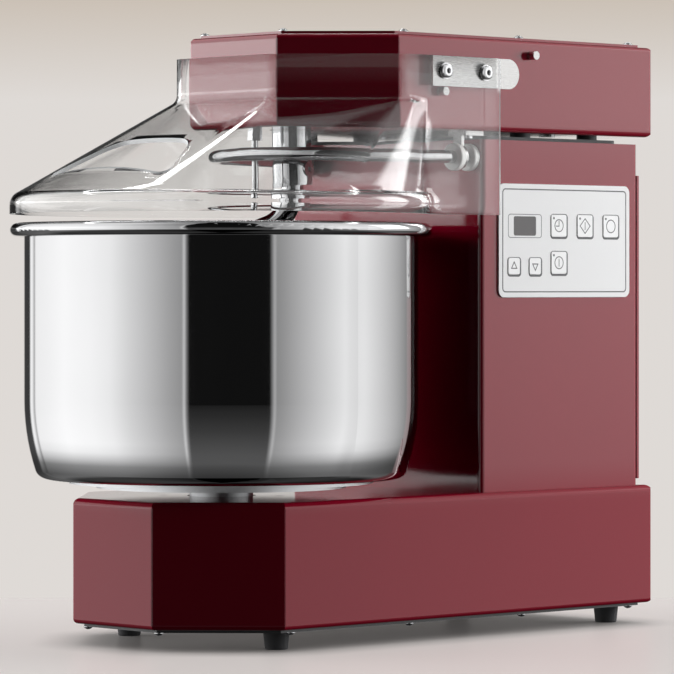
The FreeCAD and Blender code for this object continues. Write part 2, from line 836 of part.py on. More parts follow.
def bowl_pulley():
    solid = webbed_pulley(bowl_pulley_r, bowl_shaft_r, 0, bowl_pulley_z0)
    ring = (pulley_hub_r + bowl_pulley_r - pulley_rim) / 2
    holes = []
    for step in range(pulley_holes):
        turn = 2 * math.pi * step / pulley_holes
        holes.append(rod_z(pulley_hole_r, ring * math.cos(turn), ring * math.sin(turn),
                           bowl_pulley_z0 - past, bowl_pulley_z0 + pulley_width + past))
    return solid.cut(holes)


def belt_body(near_r, near_y, far_r, far_y, z0, z1):
    """The prism inside a belt that runs round two wheels on the machine's middle plane."""
    lean = math.asin((near_r - far_r) / (far_y - near_y))
    near = Vector(near_r * math.cos(lean), near_y + near_r * math.sin(lean), z0)
    far = Vector(far_r * math.cos(lean), far_y + far_r * math.sin(lean), z0)
    near_left = Vector(-near.x, near.y, z0)
    far_left = Vector(-far.x, far.y, z0)
    edges = [Part.makeLine(near, far),
             Part.Arc(far, Vector(0, far_y + far_r, z0), far_left).toShape(),
             Part.makeLine(far_left, near_left),
             Part.Arc(near_left, Vector(0, near_y - near_r, z0), near).toShape()]
    return Part.Face(Part.Wire(edges)).extrude(Vector(0, 0, z1 - z0))


def belt(near_r, near_y, far_r, far_y, pulley_z0):
    z0 = pulley_z0 + pulley_lip_width + belt_play
    z1 = pulley_z0 + pulley_width - pulley_lip_width - belt_play
    skin = running_gap + belt_thickness
    outside = belt_body(near_r + skin, near_y, far_r + skin, far_y, z0, z1)
    inside = belt_body(near_r + running_gap, near_y, far_r + running_gap, far_y, z0 - past, z1 + past)
    return outside.cut(inside)


def base_belt():
    return belt(bowl_pulley_r, 0, motor_base_pulley_r, motor_y, bowl_pulley_z0)


# Motor

motor_z1 = column_z1 - sheet
motor_z0 = motor_z1 - motor_flange - motor_length
head_pulley_z0 = head_z0 + sheet + 2 * bearing_width + bearing_spread + running_gap


def motor_housing():
    flange_z0 = motor_z1 - motor_flange
    end = 0.12 * motor_length
    core = motor_r - motor_fin
    body = turned([(motor_shaft_r + fit_play, motor_z0), (0.6 * core, motor_z0), (core, motor_z0 + end),
                   (core, flange_z0), (motor_flange_r, flange_z0), (motor_flange_r, motor_z1),
                   (motor_shaft_r + fit_play, motor_z1)], 0, motor_y)
    fins = []
    for step in range(motor_fins):
        half = motor_fin_width / 2
        fin = block(core - past, motor_r, -half, half, motor_z0 + end, flange_z0)
        fin.rotate(Vector(0, 0, 0), Vector(0, 0, 1), 360.0 * step / motor_fins)
        fins.append(fin.translated(Vector(0, motor_y, 0)))
    body = body.fuse(fins).removeSplitter()
    return drilled(body, motor_bolt_places, bolt_r + hole_play, flange_z0, motor_z1)


def motor_bolts():
    bolts = []
    for x, y in motor_bolt_places:
        head = rod_z(bolt_head_across / 2, x, y, motor_plate_z1, motor_plate_z1 + motor_bolt_head)
        shank = rod_z(bolt_r, x, y, motor_z1 - motor_flange, motor_plate_z1 + past)
        bolts.append(head.fuse(shank).removeSplitter())
    return Part.makeCompound(bolts)


def motor_shaft():
    shaft = rod_z(motor_shaft_r, 0, motor_y, bowl_pulley_z0 - bearing_step,
                  head_pulley_z0 + pulley_width + bearing_step)
    low_key = feather_key(motor_shaft_r, motor_y, bowl_pulley_z0, pulley_width, 0.0)
    high_key = feather_key(motor_shaft_r, motor_y, head_pulley_z0, pulley_width, 0.0)
    return shaft.fuse([low_key, high_key]).removeSplitter()


def motor_base_pulley():
    return flanged_pulley(motor_base_pulley_r, motor_shaft_r, motor_y, bowl_pulley_z0)


def motor_head_pulley():
    return flanged_pulley(motor_head_pulley_r, motor_shaft_r, motor_y, head_pulley_z0)


def head_belt():
    return belt(spiral_pulley_r, spiral_y, motor_head_pulley_r, motor_y, head_pulley_z0)


# Spiral

spiral_seat = head_z0 + sheet
spiral_journal_r = bowl_shaft_r


def spiral_bearing_housing():
    outer = bearing_r + bearing_wall
    inner = bearing_r - bearing_step
    low = spiral_seat + bearing_step
    top = spiral_seat + 2 * bearing_width + bearing_spread
    flange_z1 = spiral_seat + flange_thickness
    housing = turned([(inner, spiral_seat), (spiral_flange_r, spiral_seat), (spiral_flange_r, flange_z1),
                      (outer, flange_z1), (outer, top), (bearing_r, top),
                      (bearing_r, top - bearing_width), (inner, top - bearing_width),
                      (inner, low + bearing_width), (bearing_r, low + bearing_width),
                      (bearing_r, low), (inner, low)], 0, spiral_y)
    housing = drilled(housing, spiral_flange_places, flange_bolt_r + hole_play, spiral_seat, flange_z1)
    return drilled(housing, [(0, stripper_y)], stripper_r + fit_play, spiral_seat, flange_z1)


def bearing_bolts():
    """The bolts that hold both bearing housings; their heads are inside base and head."""
    bolts = []
    for x, y in bowl_flange_places:
        z = base_z1 - sheet - flange_thickness
        head = rod_z(flange_bolt_head_r, x, y, z - flange_bolt_head, z)
        bolts.append(head.fuse(rod_z(flange_bolt_r, x, y, z - past, base_z1)).removeSplitter())
    for x, y in spiral_flange_places:
        z = spiral_seat + flange_thickness
        head = rod_z(flange_bolt_head_r, x, y, z, z + flange_bolt_head)
        bolts.append(head.fuse(rod_z(flange_bolt_r, x, y, head_z0, z + past)).removeSplitter())
    return Part.makeCompound(bolts)


def spiral_bearings():
    top = spiral_seat + 2 * bearing_width + bearing_spread
    return Part.makeCompound([bearing(spiral_journal_r, 0, spiral_y, spiral_seat + bearing_step),
                              bearing(spiral_journal_r, 0, spiral_y, top - bearing_width)])


def clamp_direction():
    turn = math.radians(clamp_angle)
    return Vector(math.cos(turn), math.sin(turn), 0)


def clamp_drill(r, start, end):
    """A round bar across the spiral shaft's wall, from one distance off its axis to another."""
    out = clamp_direction()
    centre = Vector(0, spiral_y, spiral_shaft_z0 + clamp_up)
    return Part.makeCylinder(r, end - start, centre + out * start, out)


def spiral_shaft():
    shoulder = spiral_seat + bearing_step - fit_play
    top = head_pulley_z0 + pulley_width + bearing_step
    shaft = turned([(0, spiral_shaft_z0), (spiral_shaft_r, spiral_shaft_z0), (spiral_shaft_r, shoulder),
                    (spiral_journal_r, shoulder), (spiral_journal_r, top), (0, top)], 0, spiral_y)
    socket = rod_z(hook_r + fit_play, 0, spiral_y, spiral_shaft_z0 - past, spiral_shaft_z0 + spiral_socket)
    hole = clamp_drill(clamp_screw_r + hole_play, 0, spiral_shaft_r)
    seat = clamp_drill(clamp_head_r + hole_play, spiral_shaft_r - clamp_seat, spiral_shaft_r + past)
    key = feather_key(spiral_journal_r, spiral_y, head_pulley_z0, pulley_width, 0.0)
    return shaft.cut([socket, hole, seat]).fuse(key).removeSplitter()


def clamp_screw():
    """The socket screw that holds the hook in the shaft; its head sits in a flat seat."""
    seat = spiral_shaft_r - clamp_seat
    shank = clamp_drill(clamp_screw_r, hook_r + fit_play, seat + 0.5 * clamp_head)
    head = clamp_drill(clamp_head_r, seat, seat + clamp_head)
    screw = shank.fuse(head).removeSplitter()
    return screw.cut(clamp_drill(socket_across / 2, seat + 0.4 * clamp_head, seat + clamp_head + past))


def spiral_pulley():
    return webbed_pulley(spiral_pulley_r, spiral_journal_r, spiral_y, head_pulley_z0)


def arc_from(start, heading, end):
    """The arc that leaves start along heading and reaches end, or a line where they are in line."""
    chord = end - start
    side = heading - chord * (heading.dot(chord) / chord.dot(chord))
    if side.Length < 1e-6:
        return Part.makeLine(start, end)
    turn = heading.getAngle(chord)
    side.normalize()
    middle = start + chord * 0.5 + side * (0.5 * chord.Length * math.tan(turn / 2))
    return Part.Arc(start, middle, end).toShape()


def biarc(start, heading, end, arrival):
    """Two arcs that join start to end smoothly, with the headings given there."""
    chord = end - start
    both = heading + arrival
    share = 2 * (1 - heading.dot(arrival))
    reach = chord.dot(both)
    if share < 1e-9:
        step = chord.dot(chord) / (4 * chord.dot(arrival))
    else:
        step = (math.sqrt(reach * reach + share * chord.dot(chord)) - reach) / share
    middle = (start + heading * step + end - arrival * step) * 0.5
    second = arc_from(end, arrival * -1, middle)
    return [arc_from(start, heading, middle), second]


def coil_point(share):
    """Place and heading on the hook's coil, where share runs from 0 at its top to 1 at its foot."""
    coil_foot = bowl_z0 + bowl_wall + hook_floor_gap + hook_r
    angle = math.radians(hook_rest_angle + hook_lead_angle + hook_turn * share)
    coil_top = spiral_shaft_z0 - hook_coil_drop
    drop = coil_top - coil_foot
    sweep = math.radians(hook_turn) * hook_coil_r
    place = Vector(hook_coil_r * math.cos(angle), hook_coil_r * math.sin(angle), coil_top - drop * share)
    place = place + Vector(0, spiral_y, 0)
    heading = Vector(-math.sin(angle) * sweep, math.cos(angle) * sweep, -drop)
    return place, heading.normalize()


def spiral_hook():
    """The kneading spiral: a bar that leaves the shaft, bends out and winds down to the bowl's floor."""
    outward = math.radians(hook_rest_angle)
    radial = Vector(math.cos(outward), math.sin(outward), 0)
    down = Vector(0, 0, -1)
    top = Vector(0, spiral_y, spiral_shaft_z0 + spiral_socket - past)
    bend_start = Vector(0, spiral_y, spiral_shaft_z0 - hook_straight)
    bend = math.radians(hook_bend_angle)
    sideways = radial * (hook_bend_r * (1 - math.cos(bend)))
    bend_end = bend_start + sideways + down * (hook_bend_r * math.sin(bend))
    heading = radial * math.sin(bend) + down * math.cos(bend)
    path = [Part.makeLine(top, bend_start), arc_from(bend_start, down, bend_end)]
    place = bend_end
    for step in range(hook_steps + 1):
        next_place, next_heading = coil_point(step / hook_steps)
        path += biarc(place, heading, next_place, next_heading)
        place = next_place
        heading = next_heading
    section = Part.Wire([Part.makeCircle(hook_r, top, down)])
    return Part.Wire(Part.sortEdges(path)[0]).makePipeShell([section], True, False)


def stripper_rod():
    foot = head_z0 - stripper_drop
    rod = rod_z(stripper_r, 0, stripper_y, foot, spiral_seat + flange_thickness)
    return rod.makeFillet(0.6 * stripper_r, [edge for edge in rod.Edges if edge.BoundBox.ZMax < foot + past])


def stripper_nut_piece():
    nut = hexagon(stripper_nut_across, 0, stripper_y, head_z0 - stripper_nut, head_z0)
    return nut.cut(rod_z(stripper_r + fit_play, 0, stripper_y, head_z0 - stripper_nut - past, head_z0 + past))


# Hoop

hanger_rear = hanger_front + hanger_sheet
hanger_screw_y = hanger_rear + hanger_leg / 2
hanger_screw_places = [(side * hoop_r, hanger_screw_y) for side in (-1, 1)]


def hoop():
    right = Vector(hoop_r, hoop_centre_y, hoop_z)
    left = Vector(-hoop_r, hoop_centre_y, hoop_z)
    front = Vector(0, hoop_centre_y - hoop_r, hoop_z)
    right_end = Vector(hoop_r, column_front, hoop_z)
    left_end = Vector(-hoop_r, column_front, hoop_z)
    path = Part.Wire([Part.makeLine(right_end, right), Part.Arc(right, front, left).toShape(),
                      Part.makeLine(left, left_end)])
    section = Part.Wire([Part.makeCircle(hoop_rod_r, right_end, Vector(0, 1, 0))])
    return path.makePipeShell([section], True, False)


def hoop_hangers():
    """Straps that hang from the head's underside, each with a round eye for the hoop's rod."""
    half = hanger_width / 2
    strap = block(hoop_r - half, hoop_r + half, hanger_front, hanger_rear, hoop_z, head_z0)
    eye = rod_y(hanger_eye_r, hoop_r, hoop_z, hanger_front, hanger_rear)
    leg = block(hoop_r - hanger_eye_r, hoop_r + hanger_eye_r, hanger_front, hanger_rear + hanger_leg,
                head_z0 - hanger_sheet, head_z0)
    hanger = strap.fuse([eye, leg]).removeSplitter()
    hanger = hanger.cut(rod_y(hoop_rod_r + fit_play, hoop_r, hoop_z, hanger_front - past, hanger_rear + past))
    leg_z0 = head_z0 - hanger_sheet
    hole = rod_z(hanger_screw_r + hole_play, hoop_r, hanger_screw_y, leg_z0 - past, head_z0 + past)
    return both_sides([hanger.cut(hole)])


def hanger_screws():
    screws = []
    seat = head_z0 - hanger_sheet
    for x, y in hanger_screw_places:
        head = rod_z(hanger_screw_head_r, x, y, seat - hanger_screw_head, seat)
        shank = rod_z(hanger_screw_r, x, y, seat - past, head_z0 + sheet + hanger_sheet)
        screws.append(head.fuse(shank).removeSplitter())
    return Part.makeCompound(screws)


def bush_ring(y0, y1):
    ring = rod_y(bush_r, hoop_r, hoop_z, y0, y1)
    ring = ring.makeFillet(0.2 * bush_thickness, ring.Edges[0:1] + ring.Edges[2:3])
    return ring.cut(rod_y(hoop_rod_r + fit_play, hoop_r, hoop_z, y0 - past, y1 + past))


def hoop_bushes():
    return both_sides([bush_ring(hanger_front - bush_thickness, hanger_front),
                       bush_ring(column_front - bush_thickness, column_front)])


# Clear guard

def on_circle(radius, degrees, z, centre=(0.0, 0.0)):
    angle = math.radians(degrees)
    return Vector(centre[0] + radius * math.cos(angle), centre[1] + radius * math.sin(angle), z)


def flare(radius, half, inset):
    """Centre and radius of the hollow arc that leads the round skirt into the guard's flat side."""
    r = flare_r + inset
    y = math.sqrt((radius + r) ** 2 - (half + r) ** 2)
    return Vector(half + r, y, 0), r


slope_turn = 60.0
ridge_rear = 10.0
ridge_rear_end = -6.0
ridge_front = -46.0
ridge_front_end = -64.0


def closed_outline(right_edges, last, first, z):
    """Joins the +X half of an outline, front edge and its mirror image, and closes it at the rear."""
    left_edges = [mirrored(edge) for edge in right_edges]
    rear = Part.makeLine(Vector(-first.x, first.y, z), first)
    return Part.Wire(Part.sortEdges(right_edges + [last] + left_edges + [rear])[0])


def collar_outline(inset, rear, z, spread=0.0):
    """Plan of the guard's collar round the head's chamfered front; spread widens all but its flat sides."""
    side = guard_outer - inset
    out = guard_gap + guard_wall - inset + spread
    half = body_half + out
    front = head_front - out
    chamfer = head_chamfer + out * (2 - math.sqrt(2))
    r = collar_corner_r - inset + spread
    tangent = r * math.tan(math.radians(22.5))
    slant = tangent / math.sqrt(2)
    flare_y = flare(skirt_r - inset, side, inset)[0].y
    side_end = front + chamfer + tangent
    rear_centre = (half - r, side_end)
    front_centre = (half - chamfer - tangent, front + r)
    p0 = Vector(side, rear, z)
    p1 = Vector(side, flare_y, z)
    p2 = Vector(side, (flare_y + side_end) / 2, z)
    p3 = Vector(half, side_end, z)
    p4 = Vector(half - slant, front + chamfer - slant, z)
    p5 = Vector(half - chamfer + slant, front + slant, z)
    p6 = Vector(half - chamfer - tangent, front, z)
    edges = [Part.makeLine(p0, p1), Part.makeLine(p1, p2), Part.makeLine(p2, p3),
             Part.Arc(p3, on_circle(r, -22.5, z, rear_centre), p4).toShape(), Part.makeLine(p4, p5),
             Part.Arc(p5, on_circle(r, -67.5, z, front_centre), p6).toShape()]
    return closed_outline(edges, Part.makeLine(p6, Vector(-p6.x, front, z)), p0, z)


def skirt_outline(radius, inset, rear, z):
    """Plan of the guard's round skirt with the flat sides behind it."""
    half = guard_outer - inset
    centre, r = flare(radius, half, inset)
    join = math.degrees(math.atan2(centre.y, centre.x))
    stops = [join, ridge_rear, ridge_rear_end, ridge_front, ridge_front_end]
    p0 = Vector(half, rear, z)
    p1 = Vector(half, centre.y, z)
    p2 = on_circle(radius, join, z)
    hollow = on_circle(r, (180 + 180 + join) / 2, z, (centre.x, centre.y))
    edges = [Part.makeLine(p0, p1), Part.Arc(p1, hollow, p2).toShape()]
    for start, end in zip(stops, stops[1:]):
        edges.append(Part.Arc(on_circle(radius, start, z), on_circle(radius, (start + end) / 2, z),
                              on_circle(radius, end, z)).toShape())
    last = on_circle(radius, ridge_front_end, z)
    front = Part.Arc(last, Vector(0, -radius, z), Vector(-last.x, last.y, z)).toShape()
    return closed_outline(edges, front, p0, z)


def guard_body(inset, low, high, rear):
    """The guard as a filled form: skirt, rounded shoulder, slope and collar, drawn in by inset."""
    centre_r = skirt_r - skirt_round
    shoulder = skirt_round - inset
    hollow = collar_fillet_r + inset
    hollow_z1 = collar_z0 + collar_fillet_r * math.tan(math.radians(slope_turn / 2))
    sections = [skirt_outline(skirt_r - inset, inset, rear, low)]
    for share in (0, 0.5, 1):
        turn = math.radians(slope_turn * share)
        sections.append(skirt_outline(centre_r + shoulder * math.cos(turn), inset, rear,
                                      skirt_z1 + shoulder * math.sin(turn)))
    for share in (1, 0.5, 0):
        turn = math.radians(slope_turn * share)
        sections.append(collar_outline(inset, rear, hollow_z1 - hollow * math.sin(turn),
                                       hollow * (1 - math.cos(turn))))
    sections.append(collar_outline(inset, rear, high))
    return Part.makeLoft(sections, True, True)


def fill_opening():
    """The cutter for the opening in the guard's sloping front."""
    collar_front = head_front - guard_gap - guard_wall
    y1 = collar_front - opening_top
    y0 = y1 - opening_depth
    top = opening_top_width / 2
    bottom = opening_bottom_width / 2
    cutter = prism([(-bottom, y0), (bottom, y0), (top, y1), (-top, y1)], skirt_z1, collar_z1)
    return cutter.makeFillet(opening_corner_r, edges_along(cutter, Vector(0, 0, 1)))


bracket_screw_y = [pivot_y - bracket_screw_near, pivot_y - bracket_screw_far]


def guard():
    outside = guard_body(0.0, skirt_z0, collar_z1, guard_rear)
    inside = guard_body(guard_wall, skirt_z0 - past, collar_z1 + past, guard_rear + past)
    holes = [rod_x(guard_screw_r + hole_play, y, pivot_z, guard_inner - past, guard_outer + past)
             for y in bracket_screw_y]
    return outside.cut([inside, fill_opening()] + holes + [mirrored(hole) for hole in holes])


def guard_brackets():
    half_height = bracket_height / 2
    front = pivot_y - bracket_reach
    z0 = pivot_z - half_height
    z1 = pivot_z + half_height
    plate = block(bracket_inner, bracket_outer, front, pivot_y, z0, z1)
    plate = plate.fuse(rod_x(half_height, pivot_y, pivot_z, bracket_inner, bracket_outer)).removeSplitter()
    holes = [rod_x(guard_screw_r + fit_play, y, pivot_z, bracket_inner - past, bracket_outer + past)
             for y in bracket_screw_y]
    return both_sides([plate.cut(holes)])


def guard_screws():
    """Socket screws with washers, from outside the guard into its brackets."""
    screws = []
    length = guard_outer - bracket_inner
    top = guard_washer + guard_screw_head
    profile = [(0, -length), (guard_screw_r, -length), (guard_screw_r, 0), (guard_washer_r, 0),
               (guard_washer_r, guard_washer), (guard_screw_head_r, guard_washer),
               (guard_screw_head_r, 0.6 * top), (0.92 * guard_screw_head_r, 0.85 * top),
               (0.72 * guard_screw_head_r, top), (0, top)]
    screw = turned(profile).cut(hexagon(socket_across, 0, 0, guard_washer, top + past))
    for y in bracket_screw_y:
        screws.append(laid_along_x(screw, y, pivot_z, guard_outer))
    return both_sides(screws)


def pivot_pins():
    inner = body_half - sheet - pivot_bush_inside
    pin = rod_x(pivot_pin_r, pivot_y, pivot_z, inner - running_gap - pivot_collar, bracket_inner)
    collar = rod_x(pivot_collar_r, pivot_y, pivot_z, inner - running_gap - pivot_collar, inner - running_gap)
    return both_sides([pin.fuse(collar).removeSplitter()])


def pivot_bushes():
    bore = pivot_pin_r + fit_play
    sleeve_r = bore + pivot_bush_wall
    inner = body_half - sheet - pivot_bush_inside
    outer = bracket_inner - running_gap
    sleeve = rod_x(sleeve_r, pivot_y, pivot_z, inner, outer)
    flange = rod_x(sleeve_r + pivot_bush_wall, pivot_y, pivot_z, body_half, outer)
    bush = sleeve.fuse(flange).removeSplitter()
    return both_sides([bush.cut(rod_x(bore, pivot_y, pivot_z, inner - past, outer + past))])


lower_stop_z = pivot_z - bracket_height / 2 - running_gap - stop_r
stop_places = [(pivot_y - lower_stop_reach, lower_stop_z),
               (pivot_y + upper_stop_back, pivot_z + upper_stop_up)]


def stop_pins():
    """Pins in the head's sides that the brackets rest on when the guard is shut and when it is open."""
    pins = []
    wall = body_half - sheet
    for y, z in stop_places:
        pin = rod_x(stop_r, y, z, wall - stop_nut, body_half + stop_length)
        nut = rod_x(stop_nut_r, y, z, wall - stop_nut, wall)
        pins.append(pin.fuse(nut).removeSplitter())
    return both_sides(pins)


def guard_switch():
    """The switch on the head's inner wall that knows whether the guard is shut."""
    wall = body_half - sheet
    return block(wall - switch_depth, wall, pivot_y + switch_behind, pivot_y + switch_behind + switch_length,
                 pivot_z - switch_height, pivot_z)


# Control panel

upper_z = panel_z + upper_row
lower_z = panel_z + lower_row
small_z = lower_z - small_key_drop
display_y = panel_y + display_from_middle
display_z = upper_z - display_drop
keys = {
    "timer_key": (panel_y + key_first, upper_z, key_size),
    "start_key": (panel_y + key_first + key_pitch, upper_z, key_size),
    "stop_key": (panel_y + key_first + 2 * key_pitch, upper_z, key_size),
    "power_key": (panel_y + key_first, lower_z, key_size),
    "up_key": (panel_y + small_key_first, small_z, small_key_size),
    "down_key": (panel_y + small_key_first + small_key_pitch, small_z, small_key_size),
}
board_x1 = column_half - sheet - board_stand_off
board_x0 = board_x1 - board_thickness


def control_panel():
    panel = panel_plate(panel_y, panel_z, panel_width, panel_height, panel_corner_r, panel_x0, panel_x1)
    x0 = panel_x0 - past
    x1 = panel_x1 + past
    holes = [panel_plate(y, z, size + 2 * key_play, size + 2 * key_play, key_corner_r + key_play, x0, x1)
             for y, z, size in keys.values()]
    play = 2 * fit_play
    holes.append(panel_plate(display_y, display_z, display_width + play, display_height + play,
                             key_corner_r, x0, x1))
    return panel.cut(holes)


def key(name):
    """A key that stands a little proud of the panel, with a flange behind the panel that keeps it in."""
    y, z, size = keys[name]
    back = panel_x0 - fit_play
    cap = panel_plate(y, z, size, size, key_corner_r, back - key_flange_thickness, panel_x1 + key_proud)
    wide = size + 2 * (key_flange + key_play)
    flange = panel_plate(y, z, wide, wide, key_corner_r, back - key_flange_thickness, back)
    return cap.fuse(flange).removeSplitter()


def display_window():
    return panel_plate(display_y, display_z, display_width, display_height, key_corner_r, panel_x0, panel_x1)


def display_module():
    return block(board_x1, panel_x0, display_y - display_width / 2, display_y + display_width / 2,
                 display_z - display_height / 2, display_z + display_height / 2)


def control_board():
    """The circuit board behind the panel, on four stand-offs from the column's side."""
    half_w = panel_width / 2 - board_margin
    half_h = panel_height / 2 + board_margin
    board = block(board_x0, board_x1, panel_y - half_w, panel_y + half_w, panel_z - half_h, panel_z + half_h)
    post_y = half_w - 2 * stand_off_r
    post_z = half_h - 1.5 * stand_off_r
    posts = []
    for side_y in (-1, 1):
        for side_z in (-1, 1):
            posts.append(rod_x(stand_off_r, panel_y + side_y * post_y, panel_z + side_z * post_z,
                               board_x0, column_half - sheet))
    return board.fuse(posts).removeSplitter()


def key_switches():
    """One push switch on the board behind each key."""
    switches = []
    tip = panel_x0 - fit_play - key_flange_thickness - key_travel - switch_gap
    half = switch_body / 2
    for y, z, size in keys.values():
        body = block(board_x1, board_x1 + switch_body_depth, y - half, y + half, z - half, z + half)
        stem = rod_x(switch_stem_r, y, z, board_x1, tip)
        switches.append(body.fuse(stem).removeSplitter())
    return Part.makeCompound(switches)


pieces = {
    "base_housing": base_housing, "bottom_plate": bottom_plate, "bottom_plate_screws": bottom_plate_screws,
    "rubber_feet": rubber_feet, "column_shell": column_shell, "column_bolts": column_bolts,
    "rear_cover": rear_cover, "rear_cover_screws": rear_cover_screws, "cord_gland": cord_gland,
    "motor_plate": motor_plate, "head_spacers": head_spacers, "head_bolts": head_bolts,
    "head_housing": head_housing, "top_cover": top_cover, "top_cover_screws": top_cover_screws,
    "bowl": bowl, "bowl_screws": bowl_screws, "turntable": turntable, "bowl_shaft": bowl_shaft,
    "bowl_bearing_housing": bowl_bearing_housing, "bearing_bolts": bearing_bolts,
    "bowl_bearings": bowl_bearings, "bowl_pulley": bowl_pulley, "base_belt": base_belt,
    "motor_housing": motor_housing, "motor_bolts": motor_bolts, "motor_shaft": motor_shaft,
    "motor_base_pulley": motor_base_pulley, "motor_head_pulley": motor_head_pulley, "head_belt": head_belt,
    "spiral_bearing_housing": spiral_bearing_housing, "spiral_bearings": spiral_bearings,
    "spiral_shaft": spiral_shaft, "spiral_pulley": spiral_pulley, "spiral_hook": spiral_hook,
    "clamp_screw": clamp_screw, "stripper_rod": stripper_rod, "stripper_nut": stripper_nut_piece,
    "hoop": hoop, "hoop_hangers": hoop_hangers, "hanger_screws": hanger_screws, "hoop_bushes": hoop_bushes,
    "guard": guard, "guard_brackets": guard_brackets, "guard_screws": guard_screws, "pivot_pins": pivot_pins,
    "pivot_bushes": pivot_bushes, "stop_pins": stop_pins, "guard_switch": guard_switch,
    "control_panel": control_panel, "display_window": display_window, "display_module": display_module,
    "control_board": control_board, "key_switches": key_switches,
}


def save(name, shape):
    shape.translated(Vector(0, -footprint_middle, 0)).exportStep("parts/" + name + ".step")


os.makedirs("parts", exist_ok=True)
for name, make in pieces.items():
    save(name, make())
for name in keys:
    save(name, key(name))
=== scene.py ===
import math

import bmesh
import bpy
from mathutils import Matrix, Vector


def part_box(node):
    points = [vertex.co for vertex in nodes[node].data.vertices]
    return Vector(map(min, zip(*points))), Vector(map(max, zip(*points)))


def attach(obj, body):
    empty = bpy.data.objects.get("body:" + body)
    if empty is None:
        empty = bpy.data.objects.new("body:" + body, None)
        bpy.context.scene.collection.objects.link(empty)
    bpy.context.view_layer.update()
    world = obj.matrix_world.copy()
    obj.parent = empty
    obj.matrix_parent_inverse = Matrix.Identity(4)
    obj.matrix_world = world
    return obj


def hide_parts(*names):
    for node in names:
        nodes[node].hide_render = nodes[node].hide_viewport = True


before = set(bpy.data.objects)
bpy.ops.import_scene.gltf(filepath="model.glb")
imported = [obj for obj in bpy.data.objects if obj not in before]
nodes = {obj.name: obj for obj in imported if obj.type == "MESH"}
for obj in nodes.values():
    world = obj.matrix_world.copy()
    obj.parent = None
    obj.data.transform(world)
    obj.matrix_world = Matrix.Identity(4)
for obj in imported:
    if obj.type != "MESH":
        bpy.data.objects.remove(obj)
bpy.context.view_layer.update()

scene = bpy.context.scene
MM = 0.001

# Camera in metres, level and beside the machine, with the lens shifted down
view_turn = math.radians(46.37)
camera_place = (2.3107, -2.1890, 0.26819)
lens_mm = 219.64
sensor_mm = 36.0
lens_shift = -0.07605
sight_end = 50.0

# Backdrop, whose colour changes just above the horizon
backdrop_low = (0.735, 0.70, 0.672)
backdrop_high = (0.60, 0.535, 0.47)
backdrop_change = 0.045
backdrop_change_rate = 42.0

# Table top in metres, with a glow that a painted shadow darkens where the machine comes close to it
floor_colour = (0.165, 0.159, 0.156)
floor_mottle = 0.015
floor_roughness = 0.35
floor_glow = (0.455, 0.421, 0.408)
floor_shade = (0.0, 0.0, 0.0)
floor_shade_reach = 0.04
floor_shade_samples = 16
table_behind = 0.347
table_before = 1.0
table_half = 1.2

# Lamps in metres and watts, with bearings in degrees from the camera round to the picture's right
lamp_aim = (0.0, 0.0, 0.22)
side_lamps = (("left_softbox", -108.0, 86.0), ("right_softbox", 108.0, 74.0), ("front_softbox", 62.0, 10.0))
side_lamp_away = 2.2
side_lamp_height = 0.52
side_lamp_size = (1.4, 0.9)
top_lamp_behind = 0.5
top_lamp_height = 2.4
top_lamp_size = (2.0, 2.0)
top_lamp_power = 52.0
fill_level = 0.05


# Node trees

class Wire:
    """A value in a node tree. Arithmetic on wires adds Math nodes to that tree."""

    def __init__(self, web, socket):
        self.web = web
        self.socket = socket

    def math(self, operation, *others):
        values = dict(enumerate((self,) + others))
        return self.web.node("ShaderNodeMath", {"operation": operation}, values)

    def reversed_math(self, operation, other):
        return self.web.node("ShaderNodeMath", {"operation": operation}, {0: other, 1: self})

    def __add__(self, other):
        return self.math("ADD", other)

    def __sub__(self, other):
        return self.math("SUBTRACT", other)

    def __rsub__(self, other):
        return self.reversed_math("SUBTRACT", other)

    def __mul__(self, other):
        return self.math("MULTIPLY", other)

    def __truediv__(self, other):
        return self.math("DIVIDE", other)

    def __rtruediv__(self, other):
        return self.reversed_math("DIVIDE", other)

    __radd__ = __add__
    __rmul__ = __mul__


class Web:
    """A node tree, with one way to add any node."""

    def __init__(self, tree):
        self.tree = tree

    def node(self, kind, settings=None, sockets=None, out=0):
        made = self.tree.nodes.new(kind)
        for key, value in (settings or {}).items():
            if key == "stops":
                self.set_stops(made.color_ramp, value)
            else:
                setattr(made, key, value)
        for key, value in (sockets or {}).items():
            self.plug(made.inputs[key], value)
        return Wire(self, made.outputs[out]) if made.outputs else None

    def plug(self, socket, value):
        if isinstance(value, Wire):
            self.tree.links.new(value.socket, socket)
        else:
            socket.default_value = value

    def set_stops(self, ramp, stops):
        while len(ramp.elements) < len(stops):
            ramp.elements.new(1.0)
        for element, (position, level) in zip(ramp.elements, stops):
            element.position = position
            element.color = (level, level, level, 1.0)

    def ramp(self, factor, stops):
        """A level that follows the stops, given as {position: level}."""
        peak = max(stops.values())
        scaled = [(place, level / peak) for place, level in sorted(stops.items())]
        return self.node("ShaderNodeValToRGB", {"stops": scaled}, {"Fac": factor}) * peak

    def colour_mix(self, factor, first, second):
        """Colours are wires or red, green and blue. A Mix node numbers its colour sockets 6, 7 and 2."""
        first, second = (each if isinstance(each, Wire) else (*each, 1.0) for each in (first, second))
        return self.node("ShaderNodeMix", {"data_type": "RGBA"}, {0: factor, 6: first, 7: second}, out=2)


